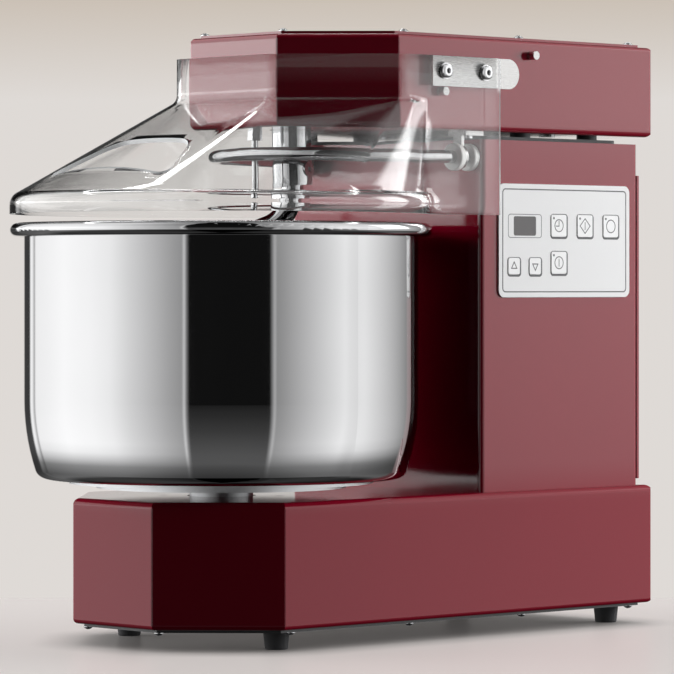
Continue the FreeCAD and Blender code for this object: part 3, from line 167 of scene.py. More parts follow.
class Finish(Web):
    """A material. Its patterns lie on Object coordinates, in metres."""

    def __init__(self, name, colour, roughness, **constants):
        self.material = bpy.data.materials.new(name)
        self.material.use_nodes = True
        super().__init__(self.material.node_tree)
        self.surface = self.tree.nodes["Principled BSDF"]
        self.set("Base Color", (*colour, 1.0))
        self.set("Roughness", roughness)
        for key, value in constants.items():
            self.set(key.replace("_", " ").title().replace("Ior", "IOR"), value)

    def set(self, socket, value):
        self.plug(self.surface.inputs[socket], value)

    def place(self, stretch=(1.0, 1.0, 1.0)):
        spot = self.node("ShaderNodeTexCoord", out="Object")
        return self.node("ShaderNodeMapping", {}, {"Vector": spot, "Scale": stretch})

    def noise(self, scale, detail=2.0, stretch=(1.0, 1.0, 1.0)):
        sockets = {"Vector": self.place(stretch), "Scale": scale, "Detail": detail}
        return self.node("ShaderNodeTexNoise", {}, sockets)

    def vary_colour(self, factor, first, second):
        self.set("Base Color", self.colour_mix(factor, first, second))

    def vary_roughness(self, factor, low, high):
        self.set("Roughness", factor * (high - low) + low)

    def bump(self, height, depth, strength=1.0):
        sockets = {"Height": height, "Distance": depth, "Strength": strength}
        self.set("Normal", self.node("ShaderNodeBump", {}, sockets))


# Finishes

# Height in metres at which the ramp of the paint's coat ends; the ramp is a painted shade on the reflections
# low down
paint_top = 0.5


def burgundy_paint():
    """Wine-red gloss enamel with a fine orange peel, under a clear coat whose weight falls towards the base
    as a painted shade on the lower parts' reflections.
    """
    paint = Finish("burgundy_paint", (0.2, 0.001, 0.013), 0.1, ior=1.4, coat_ior=1.5, coat_roughness=0.08)
    cloud = paint.noise(9.0, 3.0)
    peel = paint.noise(620.0, 2.0)
    paint.vary_colour(cloud, (0.19, 0.0008, 0.012), (0.21, 0.0012, 0.014))
    paint.vary_roughness(peel, 0.06, 0.14)
    paint.bump(peel, 0.00005, 0.3)
    # Painted shade: the coat's weight falls with height, from 0.95 at the head to none on the base, dimming
    # reflections low down
    height = paint.node("ShaderNodeSeparateXYZ", {}, {0: paint.place()}, out="Z")
    coat = {0.1: 0.0, 0.13: 0.5, 0.25: 0.7, 0.36: 0.78, 0.4: 0.95}
    stops = {metres / paint_top: weight for metres, weight in coat.items()}
    paint.set("Coat Weight", paint.ramp(height / paint_top, stops))
    return paint.material


def black_paint():
    paint = Finish("black_paint", (0.02, 0.02, 0.022), 0.4)
    grain = paint.noise(700.0, 2.0)
    paint.vary_colour(grain, (0.015, 0.015, 0.016), (0.028, 0.028, 0.03))
    paint.vary_roughness(grain, 0.3, 0.5)
    paint.bump(grain, 0.00008, 0.4)
    return paint.material


def black_rubber():
    rubber = Finish("black_rubber", (0.025, 0.025, 0.027), 0.75)
    grain = rubber.noise(900.0, 4.0)
    rubber.vary_colour(grain, (0.017, 0.017, 0.018), (0.035, 0.035, 0.037))
    rubber.vary_roughness(grain, 0.65, 0.9)
    rubber.bump(grain, 0.0001, 0.5)
    return rubber.material


def black_plastic():
    plastic = Finish("black_plastic", (0.03, 0.03, 0.032), 0.45)
    grain = plastic.noise(1100.0, 2.0)
    plastic.vary_colour(grain, (0.024, 0.024, 0.026), (0.036, 0.036, 0.038))
    plastic.vary_roughness(grain, 0.38, 0.55)
    plastic.bump(grain, 0.00005, 0.4)
    return plastic.material


def polished_steel():
    """Mirror steel with the faint turned lines of spinning and a few clouds of handling."""
    steel = Finish("polished_steel", (0.50, 0.50, 0.505), 0.05, metallic=1.0)
    lines = steel.noise(55.0, 3.0, (1.0, 1.0, 40.0))
    cloud = steel.noise(14.0, 2.0)
    steel.vary_colour(cloud, (0.485, 0.485, 0.49), (0.52, 0.52, 0.525))
    steel.vary_roughness(lines * 0.6 + cloud * 0.4, 0.02, 0.08)
    return steel.material


def satin_steel():
    """Sheet steel ground along its length."""
    steel = Finish("satin_steel", (0.47, 0.465, 0.46), 0.25, metallic=1.0)
    lines = steel.noise(90.0, 4.0, (20.0, 1.0, 20.0))
    steel.vary_colour(lines, (0.44, 0.435, 0.43), (0.50, 0.495, 0.49))
    steel.vary_roughness(lines, 0.18, 0.34)
    steel.bump(lines, 0.00003, 0.3)
    return steel.material


def screw_steel():
    steel = Finish("screw_steel", (0.66, 0.66, 0.67), 0.2, metallic=1.0)
    grain = steel.noise(500.0, 3.0)
    steel.vary_colour(grain, (0.58, 0.58, 0.59), (0.72, 0.72, 0.73))
    steel.vary_roughness(grain, 0.12, 0.3)
    return steel.material


def cast_aluminium():
    metal = Finish("cast_aluminium", (0.6, 0.61, 0.62), 0.42, metallic=1.0)
    grain = metal.noise(420.0, 4.0)
    metal.vary_colour(grain, (0.52, 0.53, 0.54), (0.66, 0.67, 0.68))
    metal.vary_roughness(grain, 0.32, 0.55)
    metal.bump(grain, 0.0001, 0.4)
    return metal.material


def grey_iron():
    metal = Finish("grey_iron", (0.2, 0.2, 0.21), 0.55, metallic=1.0)
    grain = metal.noise(300.0, 5.0)
    metal.vary_colour(grain, (0.14, 0.14, 0.15), (0.26, 0.26, 0.27))
    metal.vary_roughness(grain, 0.42, 0.7)
    metal.bump(grain, 0.00015, 0.5)
    return metal.material


def clear_plastic():
    """Clear formed sheet, a little smudged."""
    sheet = Finish("clear_plastic", (0.98, 0.985, 0.985), 0.0, transmission_weight=1.0, ior=1.52)
    smudge = sheet.noise(22.0, 3.0)
    sheet.vary_colour(smudge, (0.97, 0.978, 0.978), (0.985, 0.99, 0.99))
    sheet.vary_roughness(smudge, 0.0, 0.015)
    return sheet.material


def clear_edge():
    """The sheet's sawn edge, milky, and made brighter by a weak painted glow."""
    # The emission is a painted glow that lightens the edge, not light that the edge gives off
    edge = Finish("clear_edge", (0.8, 0.81, 0.82), 0.4, transmission_weight=0.5, ior=1.49,
                  emission_color=(0.9, 0.92, 0.93, 1.0), emission_strength=0.2)
    saw = edge.noise(900.0, 2.0)
    edge.vary_colour(saw, (0.72, 0.73, 0.74), (0.88, 0.89, 0.9))
    edge.vary_roughness(saw, 0.3, 0.5)
    return edge.material


def white_plastic():
    plastic = Finish("white_plastic", (0.86, 0.86, 0.84), 0.35)
    grain = plastic.noise(240.0, 2.0)
    plastic.vary_colour(grain, (0.82, 0.82, 0.80), (0.89, 0.89, 0.87))
    plastic.vary_roughness(grain, 0.28, 0.42)
    return plastic.material


def panel_grey():
    """Printed foil with a fine matt grain."""
    foil = Finish("panel_grey", (0.74, 0.74, 0.745), 0.45)
    grain = foil.noise(1500.0, 2.0)
    foil.vary_colour(grain, (0.72, 0.72, 0.725), (0.76, 0.76, 0.765))
    foil.vary_roughness(grain, 0.38, 0.52)
    foil.bump(grain, 0.00003, 0.3)
    return foil.material


def key_grey():
    foil = Finish("key_grey", (0.83, 0.83, 0.835), 0.4)
    grain = foil.noise(1500.0, 2.0)
    foil.vary_colour(grain, (0.81, 0.81, 0.815), (0.85, 0.85, 0.855))
    foil.vary_roughness(grain, 0.32, 0.46)
    foil.bump(grain, 0.00003, 0.3)
    return foil.material


def dark_window():
    window = Finish("dark_window", (0.09, 0.085, 0.087), 0.12)
    dust = window.noise(800.0, 2.0)
    window.vary_colour(dust, (0.084, 0.079, 0.081), (0.097, 0.091, 0.094))
    window.vary_roughness(dust, 0.08, 0.2)
    return window.material


def board_green():
    board = Finish("board_green", (0.03, 0.16, 0.07), 0.4)
    weave = board.noise(1800.0, 2.0)
    board.vary_colour(weave, (0.025, 0.13, 0.055), (0.035, 0.19, 0.085))
    board.vary_roughness(weave, 0.3, 0.5)
    return board.material


def print_ink():
    ink = Finish("print_ink", (0.09, 0.09, 0.095), 0.5)
    grain = ink.noise(2500.0, 2.0)
    ink.vary_colour(grain, (0.075, 0.075, 0.08), (0.11, 0.11, 0.115))
    return ink.material


finishes = {make.__name__: make() for make in (
    burgundy_paint, black_paint, black_rubber, black_plastic, polished_steel, satin_steel, screw_steel,
    cast_aluminium, grey_iron, clear_plastic, clear_edge, white_plastic, panel_grey, key_grey,
    dark_window, board_green, print_ink)}


def dress_cad_nodes():
    """Each node keeps the slot that its record gives, with the finish of that name."""
    for node in nodes.values():
        for slot in node.material_slots:
            name = slot.material.name.split(".")[0]
            slot.material = finishes[name]


dress_cad_nodes()


# Making pieces

def placed(name, data):
    """An object at the origin that holds the data."""
    made = bpy.data.objects.new(name, data)
    scene.collection.objects.link(made)
    return made


def add_piece(name, mesh, body, *finish_names):
    """A finished piece at the origin that moves with its body."""
    piece = placed(name, mesh)
    while len(mesh.materials) < len(finish_names):
        mesh.materials.append(None)
    for index, finish_name in enumerate(finish_names):
        mesh.materials[index] = finishes[finish_name]
    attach(piece, body)
    return piece


def mesh_from(bm, name):
    bmesh.ops.recalc_face_normals(bm, faces=bm.faces)
    mesh = bpy.data.meshes.new(name)
    bm.to_mesh(mesh)
    bm.free()
    return mesh


def finished_mesh(blank):
    """The plain mesh that a blank's modifiers give. The blank goes."""
    done = bpy.data.meshes.new_from_object(blank.evaluated_get(bpy.context.evaluated_depsgraph_get()))
    bpy.data.objects.remove(blank)
    return done


def worked_mesh(mesh, kind, **settings):
    """The mesh after one modifier of that kind."""
    blank = placed("blank", mesh)
    modifier = blank.modifiers.new(kind.lower(), kind)
    for key, value in settings.items():
        setattr(modifier, key, value)
    return finished_mesh(blank)


def cut_by(mesh, cutter):
    """The mesh less the cutter, whose faces keep their own place in the list of finishes."""
    tool = placed("tool", cutter)
    done = worked_mesh(mesh, "BOOLEAN", object=tool, operation="DIFFERENCE", solver="EXACT")
    bpy.data.objects.remove(tool)
    return done


def smooth(mesh, sharp_degrees):
    mesh.shade_smooth()
    mesh.set_sharp_from_angle(angle=math.radians(sharp_degrees))


def arc(centre, radius, start, end, steps):
    """Points on a circle, from start to end in degrees, both included."""
    turns = [math.radians(start + (end - start) * step / steps) for step in range(steps + 1)]
    return [Vector((centre[0] + radius * math.cos(t), centre[1] + radius * math.sin(t))) for t in turns]


def circle(centre, radius, count):
    """As many points as asked for, evenly spaced round a circle."""
    return arc(centre, radius, 0, 360 - 360 / count, count - 1)


def rounded(low, high, radius, corner_steps=6):
    """Outline of a rectangle with round corners, from its low and high corners."""
    x0, y0 = (value + radius for value in low)
    x1, y1 = (value - radius for value in high)
    points = []
    for centre, start in (((x1, y1), 0), ((x0, y1), 90), ((x0, y0), 180), ((x1, y0), 270)):
        points += arc(centre, radius, start, start + 90, corner_steps)
    return points


# Clear guard in millimetres, formed in one sheet from a collar round the head to a skirt round the bowl

guard_low, guard_high = (Vector(corner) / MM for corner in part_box("guard"))
head_low, head_high = (Vector(corner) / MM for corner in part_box("head_housing"))
skirt_r = guard_high.x
bowl_y = guard_low.y + skirt_r
guard_wall = 3.0
guard_gap = 7.5
head_chamfer = 65.0
chamfer_turn = 45.0
collar_height = 32.2
collar_corner_r = 14.0
collar_fillet_r = 8.0
skirt_band = 7.3
skirt_round = 10.0
flare_r = 40.0
slope_turn = 60.0
ridge_stops = (10.0, -6.0, -46.0, -64.0)
opening_top = 67.7
opening_depth = 49.5
opening_top_width = 85.0
opening_bottom_width = 139.0
opening_corner_r = 14.0
opening_corner_steps = 8
sawn_edge = 0.5
sawn_edge_turn = 50.0
bend_steps = 8
slope_steps = 16
guard_sharp_turn = 40.0
sheet_slot = 0
edge_slot = 1
guard_side = head_high.x + guard_gap + guard_wall
collar_z0 = guard_high.z - collar_height

# Skirt and collar have matching stretches from the rear end to the front, with equally many steps in each
stretch_steps = (8, 14, 16, 10, 16, 12, 12)


def along(start, end, steps):
    return [start.lerp(end, step / steps) for step in range(steps + 1)]


def joined(stretches):
    """Stretches set end to end, each without its last point, and then the mirror image."""
    right = [point for stretch in stretches for point in stretch[:-1]]
    last = stretches[-1][-1]
    left = [Vector((-point.x, point.y)) for point in reversed(right)]
    return right + [last] + left


def flare(radius, inset):
    """Centre and radius of the hollow arc that leads the round skirt into the flat side."""
    r = flare_r + inset
    side = guard_side - inset + r
    return Vector((side, bowl_y + math.sqrt((radius + r) ** 2 - side ** 2))), r


def skirt_outline(radius, inset):
    centre, r = flare(radius, inset)
    join = math.degrees(math.atan2(centre.y - bowl_y, centre.x))
    stops = (join,) + ridge_stops + (-90.0,)
    middle = (0.0, bowl_y)
    rear = Vector((guard_side - inset, guard_high.y))
    rear_steps, flare_steps, *round_steps = stretch_steps
    stretches = [along(rear, Vector((rear.x, centre.y)), rear_steps)]
    stretches.append(arc(centre, r, 180, 180 + join, flare_steps))
    for start, end, steps in zip(stops, stops[1:], round_steps):
        stretches.append(arc(middle, radius, start, end, steps))
    return joined(stretches)


def collar_outline(inset, spread=0.0):
    out = guard_gap + guard_wall - inset + spread
    half = head_high.x + out
    front = head_low.y - out
    chamfer = head_chamfer + out * (2 - math.sqrt(2))
    r = collar_corner_r - inset + spread
    tangent = r * math.tan(math.radians(chamfer_turn / 2))
    flare_y = flare(skirt_r - inset, inset)[0].y
    side_end = front + chamfer + tangent
    rear = Vector((guard_side - inset, guard_high.y))
    side = [rear, Vector((rear.x, flare_y)), Vector((rear.x, (flare_y + side_end) / 2)),
            Vector((half, side_end))]
    *side_steps, rear_bend_steps, chamfer_steps, front_bend_steps, front_steps = stretch_steps
    rear_bend = arc((half - r, side_end), r, 0, -chamfer_turn, rear_bend_steps)
    front_bend = arc((half - chamfer - tangent, front + r), r, -chamfer_turn, -90, front_bend_steps)
    stretches = [along(*ends, steps) for *ends, steps in zip(side, side[1:], side_steps)]
    stretches += [rear_bend, along(rear_bend[-1], front_bend[0], chamfer_steps), front_bend]
    stretches.append(along(front_bend[-1], Vector((0.0, front)), front_steps))
    return joined(stretches)


def raised(outline, z):
    return [Vector((point.x, point.y, z)) for point in outline]


def guard_rows(inset):
    """Outlines of one face of the sheet from the skirt's edge up to the collar's edge."""
    shoulder = skirt_round - inset
    hollow = collar_fillet_r + inset
    skirt_z1 = guard_low.z + skirt_band
    hollow_z1 = collar_z0 + collar_fillet_r * math.tan(math.radians(slope_turn / 2))
    rows = [raised(skirt_outline(skirt_r - inset, inset), guard_low.z)]
    for step in range(bend_steps + 1):
        turn = math.radians(slope_turn * step / bend_steps)
        radius = skirt_r - skirt_round + shoulder * math.cos(turn)
        rows.append(raised(skirt_outline(radius, inset), skirt_z1 + shoulder * math.sin(turn)))
    shoulder_top = rows[-1]
    bend = []
    for step in range(bend_steps + 1):
        turn = math.radians(slope_turn * (1 - step / bend_steps))
        outline = collar_outline(inset, hollow * (1 - math.cos(turn)))
        bend.append(raised(outline, hollow_z1 - hollow * math.sin(turn)))
    for step in range(1, slope_steps):
        rows.append([low.lerp(high, step / slope_steps) for low, high in zip(shoulder_top, bend[0])])
    return rows + bend + [raised(collar_outline(inset), guard_high.z)]


def guard_solid():
    """Both faces of the sheet, and the sawn edges that join them."""
    bm = bmesh.new()
    faces = [[[bm.verts.new(point * MM) for point in row] for row in guard_rows(inset)]
             for inset in (0.0, guard_wall)]
    outer, inner = faces

    def strip(first, second, slot):
        for a, b, c, d in zip(first, first[1:], second[1:], second):
            bm.faces.new((a, b, c, d)).material_index = slot

    for grid in faces:
        for low, high in zip(grid, grid[1:]):
            strip(low, high, sheet_slot)
    for end in (0, -1):
        strip(outer[end], inner[end], edge_slot)
        strip([row[end] for row in outer], [row[end] for row in inner], edge_slot)
    return mesh_from(bm, "guard_sheet")


def opening_cutter():
    """A block with round corners, as wide as the opening in the guard's sloping front."""
    y1 = head_low.y - guard_gap - guard_wall - opening_top
    y0 = y1 - opening_depth
    bm = bmesh.new()
    corners = [bm.verts.new((x * MM, y * MM, (guard_low.z + skirt_band) * MM)) for x, y in (
        (-opening_bottom_width / 2, y0), (opening_bottom_width / 2, y0), (opening_top_width / 2, y1),
        (-opening_top_width / 2, y1))]
    bm.faces.new(corners)
    bmesh.ops.bevel(bm, geom=corners, offset=opening_corner_r * MM, segments=opening_corner_steps,
                    profile=0.5, affect="VERTICES", offset_type="OFFSET")
    lifted = bmesh.ops.extrude_face_region(bm, geom=bm.faces[:])["geom"]
    top = [item for item in lifted if isinstance(item, bmesh.types.BMVert)]
    bmesh.ops.translate(bm, verts=top, vec=(0.0, 0.0, (guard_high.z - guard_low.z - skirt_band) * MM))
    for face in bm.faces:
        face.material_index = edge_slot
    return mesh_from(bm, "opening")


def guard_sheet():
    sheet = guard_solid()
    cutter = opening_cutter()
    for mesh in (sheet, cutter):
        for finish_name in ("clear_plastic", "clear_edge"):
            mesh.materials.append(finishes[finish_name])
    mesh = worked_mesh(cut_by(sheet, cutter), "BEVEL", width=sawn_edge * MM, segments=2,
                       limit_method="ANGLE", angle_limit=math.radians(sawn_edge_turn))
    smooth(mesh, guard_sharp_turn)
    piece = add_piece("guard_sheet", mesh, "guard", "clear_plastic", "clear_edge")
    piece.visible_shadow = False
    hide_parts("guard")


guard_sheet()


# Print on the control panel and marks on its keys, in millimetres

ink_sink = 0.02
ink_rise = 0.05
mark_line = 0.75
panel_frame_inset = 3.7
panel_frame_r = 3.4
panel_frame_line = 0.95
display_frame = (37.6, 18.5)
display_frame_r = 2.6
display_frame_line = mark_line * 0.7
key_corner_r = 1.6
key_flange = 1.25
key_play = 0.25
key_outline = 0.7
key_shade = 1.9
lamp_dot_r = 0.95
lamp_dot_shift = 5.8
lamp_dot_points = 16
ring_mark_r = 5.1
ring_mark_points = 24
timer_hand_up = 3.6
timer_hand_across = 3.0
start_mark_reach = 6.3
start_bar_half = 2.7
stop_mark_r = 5.4
power_bar_half = 2.6
arrow_half = 3.6
arrow_foot = 2.1
arrow_tip = 4.0


def close_round(bm, first, second):
    """Faces between two closed rings of equally many points."""
    for a, b, c, d in zip(first, first[1:] + first[:1], second[1:] + second[:1], second):
        bm.faces.new((a, b, c, d))


def plate(bm, outline, surface):
    """A flat mark, thin as ink, with its outline in Y and Z on a face that looks along +X."""
    low = [bm.verts.new((surface - ink_sink * MM, p.x * MM, p.y * MM)) for p in outline]
    high = [bm.verts.new((surface + ink_rise * MM, p.x * MM, p.y * MM)) for p in outline]
    bm.faces.new(low)
    bm.faces.new(high)
    close_round(bm, low, high)


def band(bm, outer, inner, surface):
    """A closed line between two outlines with equally many points."""
    sides = ((outer, -ink_sink), (outer, ink_rise), (inner, ink_rise), (inner, -ink_sink))
    rings = [[bm.verts.new((surface + rise * MM, p.x * MM, p.y * MM)) for p in outline]
             for outline, rise in sides]
    for first, second in zip(rings, rings[1:] + rings[:1]):
        close_round(bm, first, second)


def line_round(bm, centre, corners, surface):
    """A line that follows a shape given by its corners about its centre."""
    inradius = min((a + b).length / 2 for a, b in zip(corners, corners[1:] + corners[:1]))
    share = 1 - mark_line / inradius
    band(bm, [centre + p for p in corners], [centre + p * share for p in corners], surface)


def ring_mark(bm, centre, surface, radius=ring_mark_r):
    line_round(bm, centre, circle((0, 0), radius, ring_mark_points), surface)


def bar(bm, centre, surface, low, high):
    """An upright or level stroke between two places about the centre."""
    half = Vector((mark_line / 2, mark_line / 2))
    a = centre + low - half
    b = centre + high + half
    plate(bm, [a, Vector((b.x, a.y)), b, Vector((a.x, b.y))], surface)


def timer_mark(bm, centre, surface):
    ring_mark(bm, centre, surface)
    bar(bm, centre, surface, Vector((0.0, 0.0)), Vector((0.0, timer_hand_up)))
    bar(bm, centre, surface, Vector((-timer_hand_across, -mark_line / 2)), Vector((0.0, -mark_line / 2)))


def start_mark(bm, centre, surface):
    corners = [Vector(p) * start_mark_reach for p in ((1, 0), (0, 1), (-1, 0), (0, -1))]
    line_round(bm, centre, corners, surface)
    bar(bm, centre, surface, Vector((0.0, -start_bar_half)), Vector((0.0, start_bar_half)))


def stop_mark(bm, centre, surface):
    ring_mark(bm, centre, surface, stop_mark_r)


def power_mark(bm, centre, surface):
    ring_mark(bm, centre, surface)
    bar(bm, centre, surface, Vector((0.0, -power_bar_half)), Vector((0.0, power_bar_half)))


def arrow_mark(bm, centre, surface, way):
    corners = [Vector((x, way * y)) for x, y in (
        (arrow_half, -arrow_foot), (0.0, arrow_tip), (-arrow_half, -arrow_foot))]
    line_round(bm, centre, corners, surface)


def up_mark(bm, centre, surface):
    arrow_mark(bm, centre, surface, 1)


def down_mark(bm, centre, surface):
    arrow_mark(bm, centre, surface, -1)


marks = {"timer": timer_mark, "start": start_mark, "stop": stop_mark, "power": power_mark, "up": up_mark,
         "down": down_mark}


def key_marks():
    """A sign on each key, and a lamp dot in the corner of the large ones."""
    for name, mark in marks.items():
        low, high = (Vector(corner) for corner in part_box(name + "_key"))
        centre = Vector(((low.y + high.y) / 2, (low.z + high.z) / 2)) / MM
        bm = bmesh.new()
        mark(bm, centre, high.x)
        if name not in ("up", "down"):
            dot = centre + Vector((-lamp_dot_shift, lamp_dot_shift))
            plate(bm, circle(dot, lamp_dot_r, lamp_dot_points), high.x)
        add_piece(name + "_mark", mesh_from(bm, name + "_mark"), name + "_key", "print_ink")


def round_key(name, left, right):
    """Outline round a key's cap, grown by left and above, and by right and below."""
    low, high = (Vector(corner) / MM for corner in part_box(name + "_key"))
    radius = key_corner_r + (left + right) / 2
    left = left - key_flange
    right = right - key_flange
    return rounded((low.y - left, low.z - right), (high.y + right, high.z + left), radius)


def panel_print():
    """Lines printed on the panel: its frame, the display's frame and a shaded outline round each key."""
    bm = bmesh.new()
    low, high = (Vector(corner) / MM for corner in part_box("control_panel"))
    surface = high.x * MM
    frames = [rounded((low.y + inset, low.z + inset), (high.y - inset, high.z - inset),
                      panel_frame_r - inset + panel_frame_inset)
              for inset in (panel_frame_inset, panel_frame_inset + panel_frame_line)]
    band(bm, *frames, surface)
    low, high = (Vector(corner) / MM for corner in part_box("display_window"))
    middle = (low + high) / 2
    reach = Vector(display_frame) / 2
    outlines = []
    for inset in (0.0, display_frame_line):
        across = reach.x - inset
        up = reach.y - inset
        outlines.append(rounded((middle.y - across, middle.z - up), (middle.y + across, middle.z + up),
                                display_frame_r - inset))
    band(bm, *outlines, surface)
    for name in marks:
        band(bm, round_key(name, key_outline, key_shade), round_key(name, key_play, key_play), surface)
    add_piece("panel_print", mesh_from(bm, "panel_print"), "frame", "print_ink")


key_marks()
panel_print()


# Cross-slotted screws of the covers in millimetres, set by one node tree

screw_head_r = 3.8
screw_head = 2.3
screw_head_rim = 0.35
screw_head_steps = 6
screw_seat = -0.02
screw_shank_r = 2.0
screw_shank = 6.0
screw_segments = 24
screw_sharp_turn = 35.0
cross_reach = 2.0
cross_width = 0.75
cross_depth = 1.1
merge_reach = 0.001


def lathe(profile, segments, name):
    """A closed solid turned about Z from (radius, height) points that start and end on the axis."""
    bm = bmesh.new()
    points = [bm.verts.new((r * MM, 0.0, z * MM)) for r, z in profile]
    edges = [bm.edges.new(ends) for ends in zip(points, points[1:])]
    bmesh.ops.spin(bm, geom=points + edges, cent=(0, 0, 0), axis=(0, 0, 1), angle=2 * math.pi,
                   steps=segments, use_merge=True)
    bmesh.ops.remove_doubles(bm, verts=bm.verts, dist=merge_reach * MM)
    return mesh_from(bm, name)


def cross_block(name):
    bm = bmesh.new()
    for size in ((2 * cross_reach, cross_width), (cross_width, 2 * cross_reach)):
        at = Matrix.Translation((0.0, 0.0, screw_head * MM))
        scale = Matrix.Diagonal((size[0] * MM, size[1] * MM, 2 * cross_depth * MM, 1.0))
        bmesh.ops.create_cube(bm, size=1.0, matrix=at @ scale)
    return mesh_from(bm, name)


def screw_mesh():
    """A low domed head with a cross slot, on a short shank."""
    dome_r = (screw_head_r ** 2 + screw_head ** 2) / (2 * screw_head)
    dome = [(r, screw_head - dome_r + math.sqrt(dome_r ** 2 - r ** 2))
            for r in (step * screw_head_r / screw_head_steps for step in range(screw_head_steps))]
    profile = dome + [(screw_head_r, screw_head_rim), (screw_head_r, screw_seat), (screw_shank_r, screw_seat),
                      (screw_shank_r, -screw_shank), (0.0, -screw_shank)]
    return cut_by(lathe(profile, screw_segments, "screw"), cross_block("cross"))


def scatter_tree():
    """Sets one screw at each vertex, stood the given way and turned by chance."""
    tree = bpy.data.node_groups.new("set_screws", "GeometryNodeTree")
    sockets = {}
    for name, kind in (("Places", "Geometry"), ("Screw", "Object"), ("Stand", "Vector"), ("Seed", "Int"),
                       ("Finish", "Material")):
        socket = tree.interface.new_socket(name, in_out="INPUT", socket_type="NodeSocket" + kind)
        sockets[name] = socket.identifier
    tree.interface.new_socket("Screws", in_out="OUTPUT", socket_type="NodeSocketGeometry")
    web = Web(tree)
    given = web.node("NodeGroupInput").socket.node
    wires = {name: Wire(web, given.outputs[name]) for name in sockets}
    points = web.node("GeometryNodeMeshToPoints", {}, {"Mesh": wires["Places"]})
    one = web.node("GeometryNodeObjectInfo", {}, {"Object": wires["Screw"]}, out="Geometry")
    stood = web.node("GeometryNodeInstanceOnPoints", {},
                     {"Points": points, "Instance": one, "Rotation": wires["Stand"]})
    chance = web.node("FunctionNodeRandomValue", {"data_type": "FLOAT"},
                      {"Max": 2 * math.pi, "Seed": wires["Seed"]}, out=1)
    spin = web.node("ShaderNodeCombineXYZ", {}, {"Z": chance})
    turned = web.node("GeometryNodeRotateInstances", {}, {"Instances": stood, "Rotation": spin})
    whole = web.node("GeometryNodeRealizeInstances", {}, {"Geometry": turned})
    dressed = web.node("GeometryNodeSetMaterial", {}, {"Geometry": whole, "Material": wires["Finish"]})
    web.node("NodeGroupOutput", {}, {"Screws": dressed})
    return tree, sockets


def screw_places(node, axis, way):
    """Where the CAD screws of a node sit: the middle of each, under its head."""
    spots = []
    for vertex in nodes[node].data.vertices:
        place = nodes[node].matrix_world @ vertex.co
        flat = place.copy()
        flat[axis] = 0.0
        near = [group for group in spots if (group[0] - flat).length < 4 * screw_shank_r * MM]
        if near:
            near[0].append(flat)
        else:
            spots.append([flat])
    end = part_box(node)[1 if way > 0 else 0][axis]
    places = []
    for group in spots:
        middle = [(min(p[i] for p in group) + max(p[i] for p in group)) / 2 for i in range(3)]
        middle[axis] = end - way * screw_head * MM
        places.append(middle)
    return places


def cover_screws():
    screw = bpy.data.objects.new("screw", screw_mesh())
    tree, sockets = scatter_tree()
    for number, (node, axis, way, stand) in enumerate((
            ("top_cover_screws", 2, 1, (0.0, 0.0, 0.0)),
            ("bottom_plate_screws", 2, -1, (math.pi, 0.0, 0.0)),
            ("rear_cover_screws", 1, 1, (-math.pi / 2, 0.0, 0.0)))):
        mesh = bpy.data.meshes.new(node)
        mesh.from_pydata(screw_places(node, axis, way), [], [])
        blank = placed("blank", mesh)
        modifier = blank.modifiers.new("set_screws", "NODES")
        modifier.node_group = tree
        for name, value in (("Screw", screw), ("Stand", stand), ("Seed", number),
                            ("Finish", finishes["screw_steel"])):
            modifier[sockets[name]] = value
        done = finished_mesh(blank)
        smooth(done, screw_sharp_turn)
        piece = add_piece("slotted_" + node, done, "frame", "screw_steel")
        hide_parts(node)
    bpy.data.objects.remove(screw)


cover_screws()


# Studio

foot_margin = 0.02
rear_shade = 0.9


class Sky(Web):
    """The world's node tree, with levels that follow the direction in which a ray leaves."""

    def __init__(self, tree):
        super().__init__(tree)
        way = self.node("ShaderNodeTexCoord", out="Generated")
        x, y, self.z = (self.node("ShaderNodeSeparateXYZ", {}, {0: way}, out=axis) for axis in range(3))
        self.toward = x * math.sin(view_turn) - y * math.cos(view_turn)
        self.aside = x * math.cos(view_turn) + y * math.sin(view_turn)
        self.turn = self.aside.math("ARCTAN2", self.toward) / (2 * math.pi) + 0.5

    def by_bearing(self, levels):
        """Levels by degrees from the camera round to the picture's right."""
        return self.ramp(self.turn, {degrees / 360 + 0.5: level for degrees, level in levels.items()})

    def by_part(self, part, levels):
        """Levels by one part of the direction, such as toward, which runs from -1 to 1."""
        return self.ramp(part * 0.5 + 0.5, {place * 0.5 + 0.5: level for place, level in levels.items()})

    def by_height(self, sine, levels):
        """Levels by degrees above the horizon, told from the sine of the height."""
        sines = {math.sin(math.radians(degrees)): level for degrees, level in levels.items()}
        return self.by_part(sine, sines)

    def ray(self, fact):
        return self.node("ShaderNodeLightPath", out=fact)


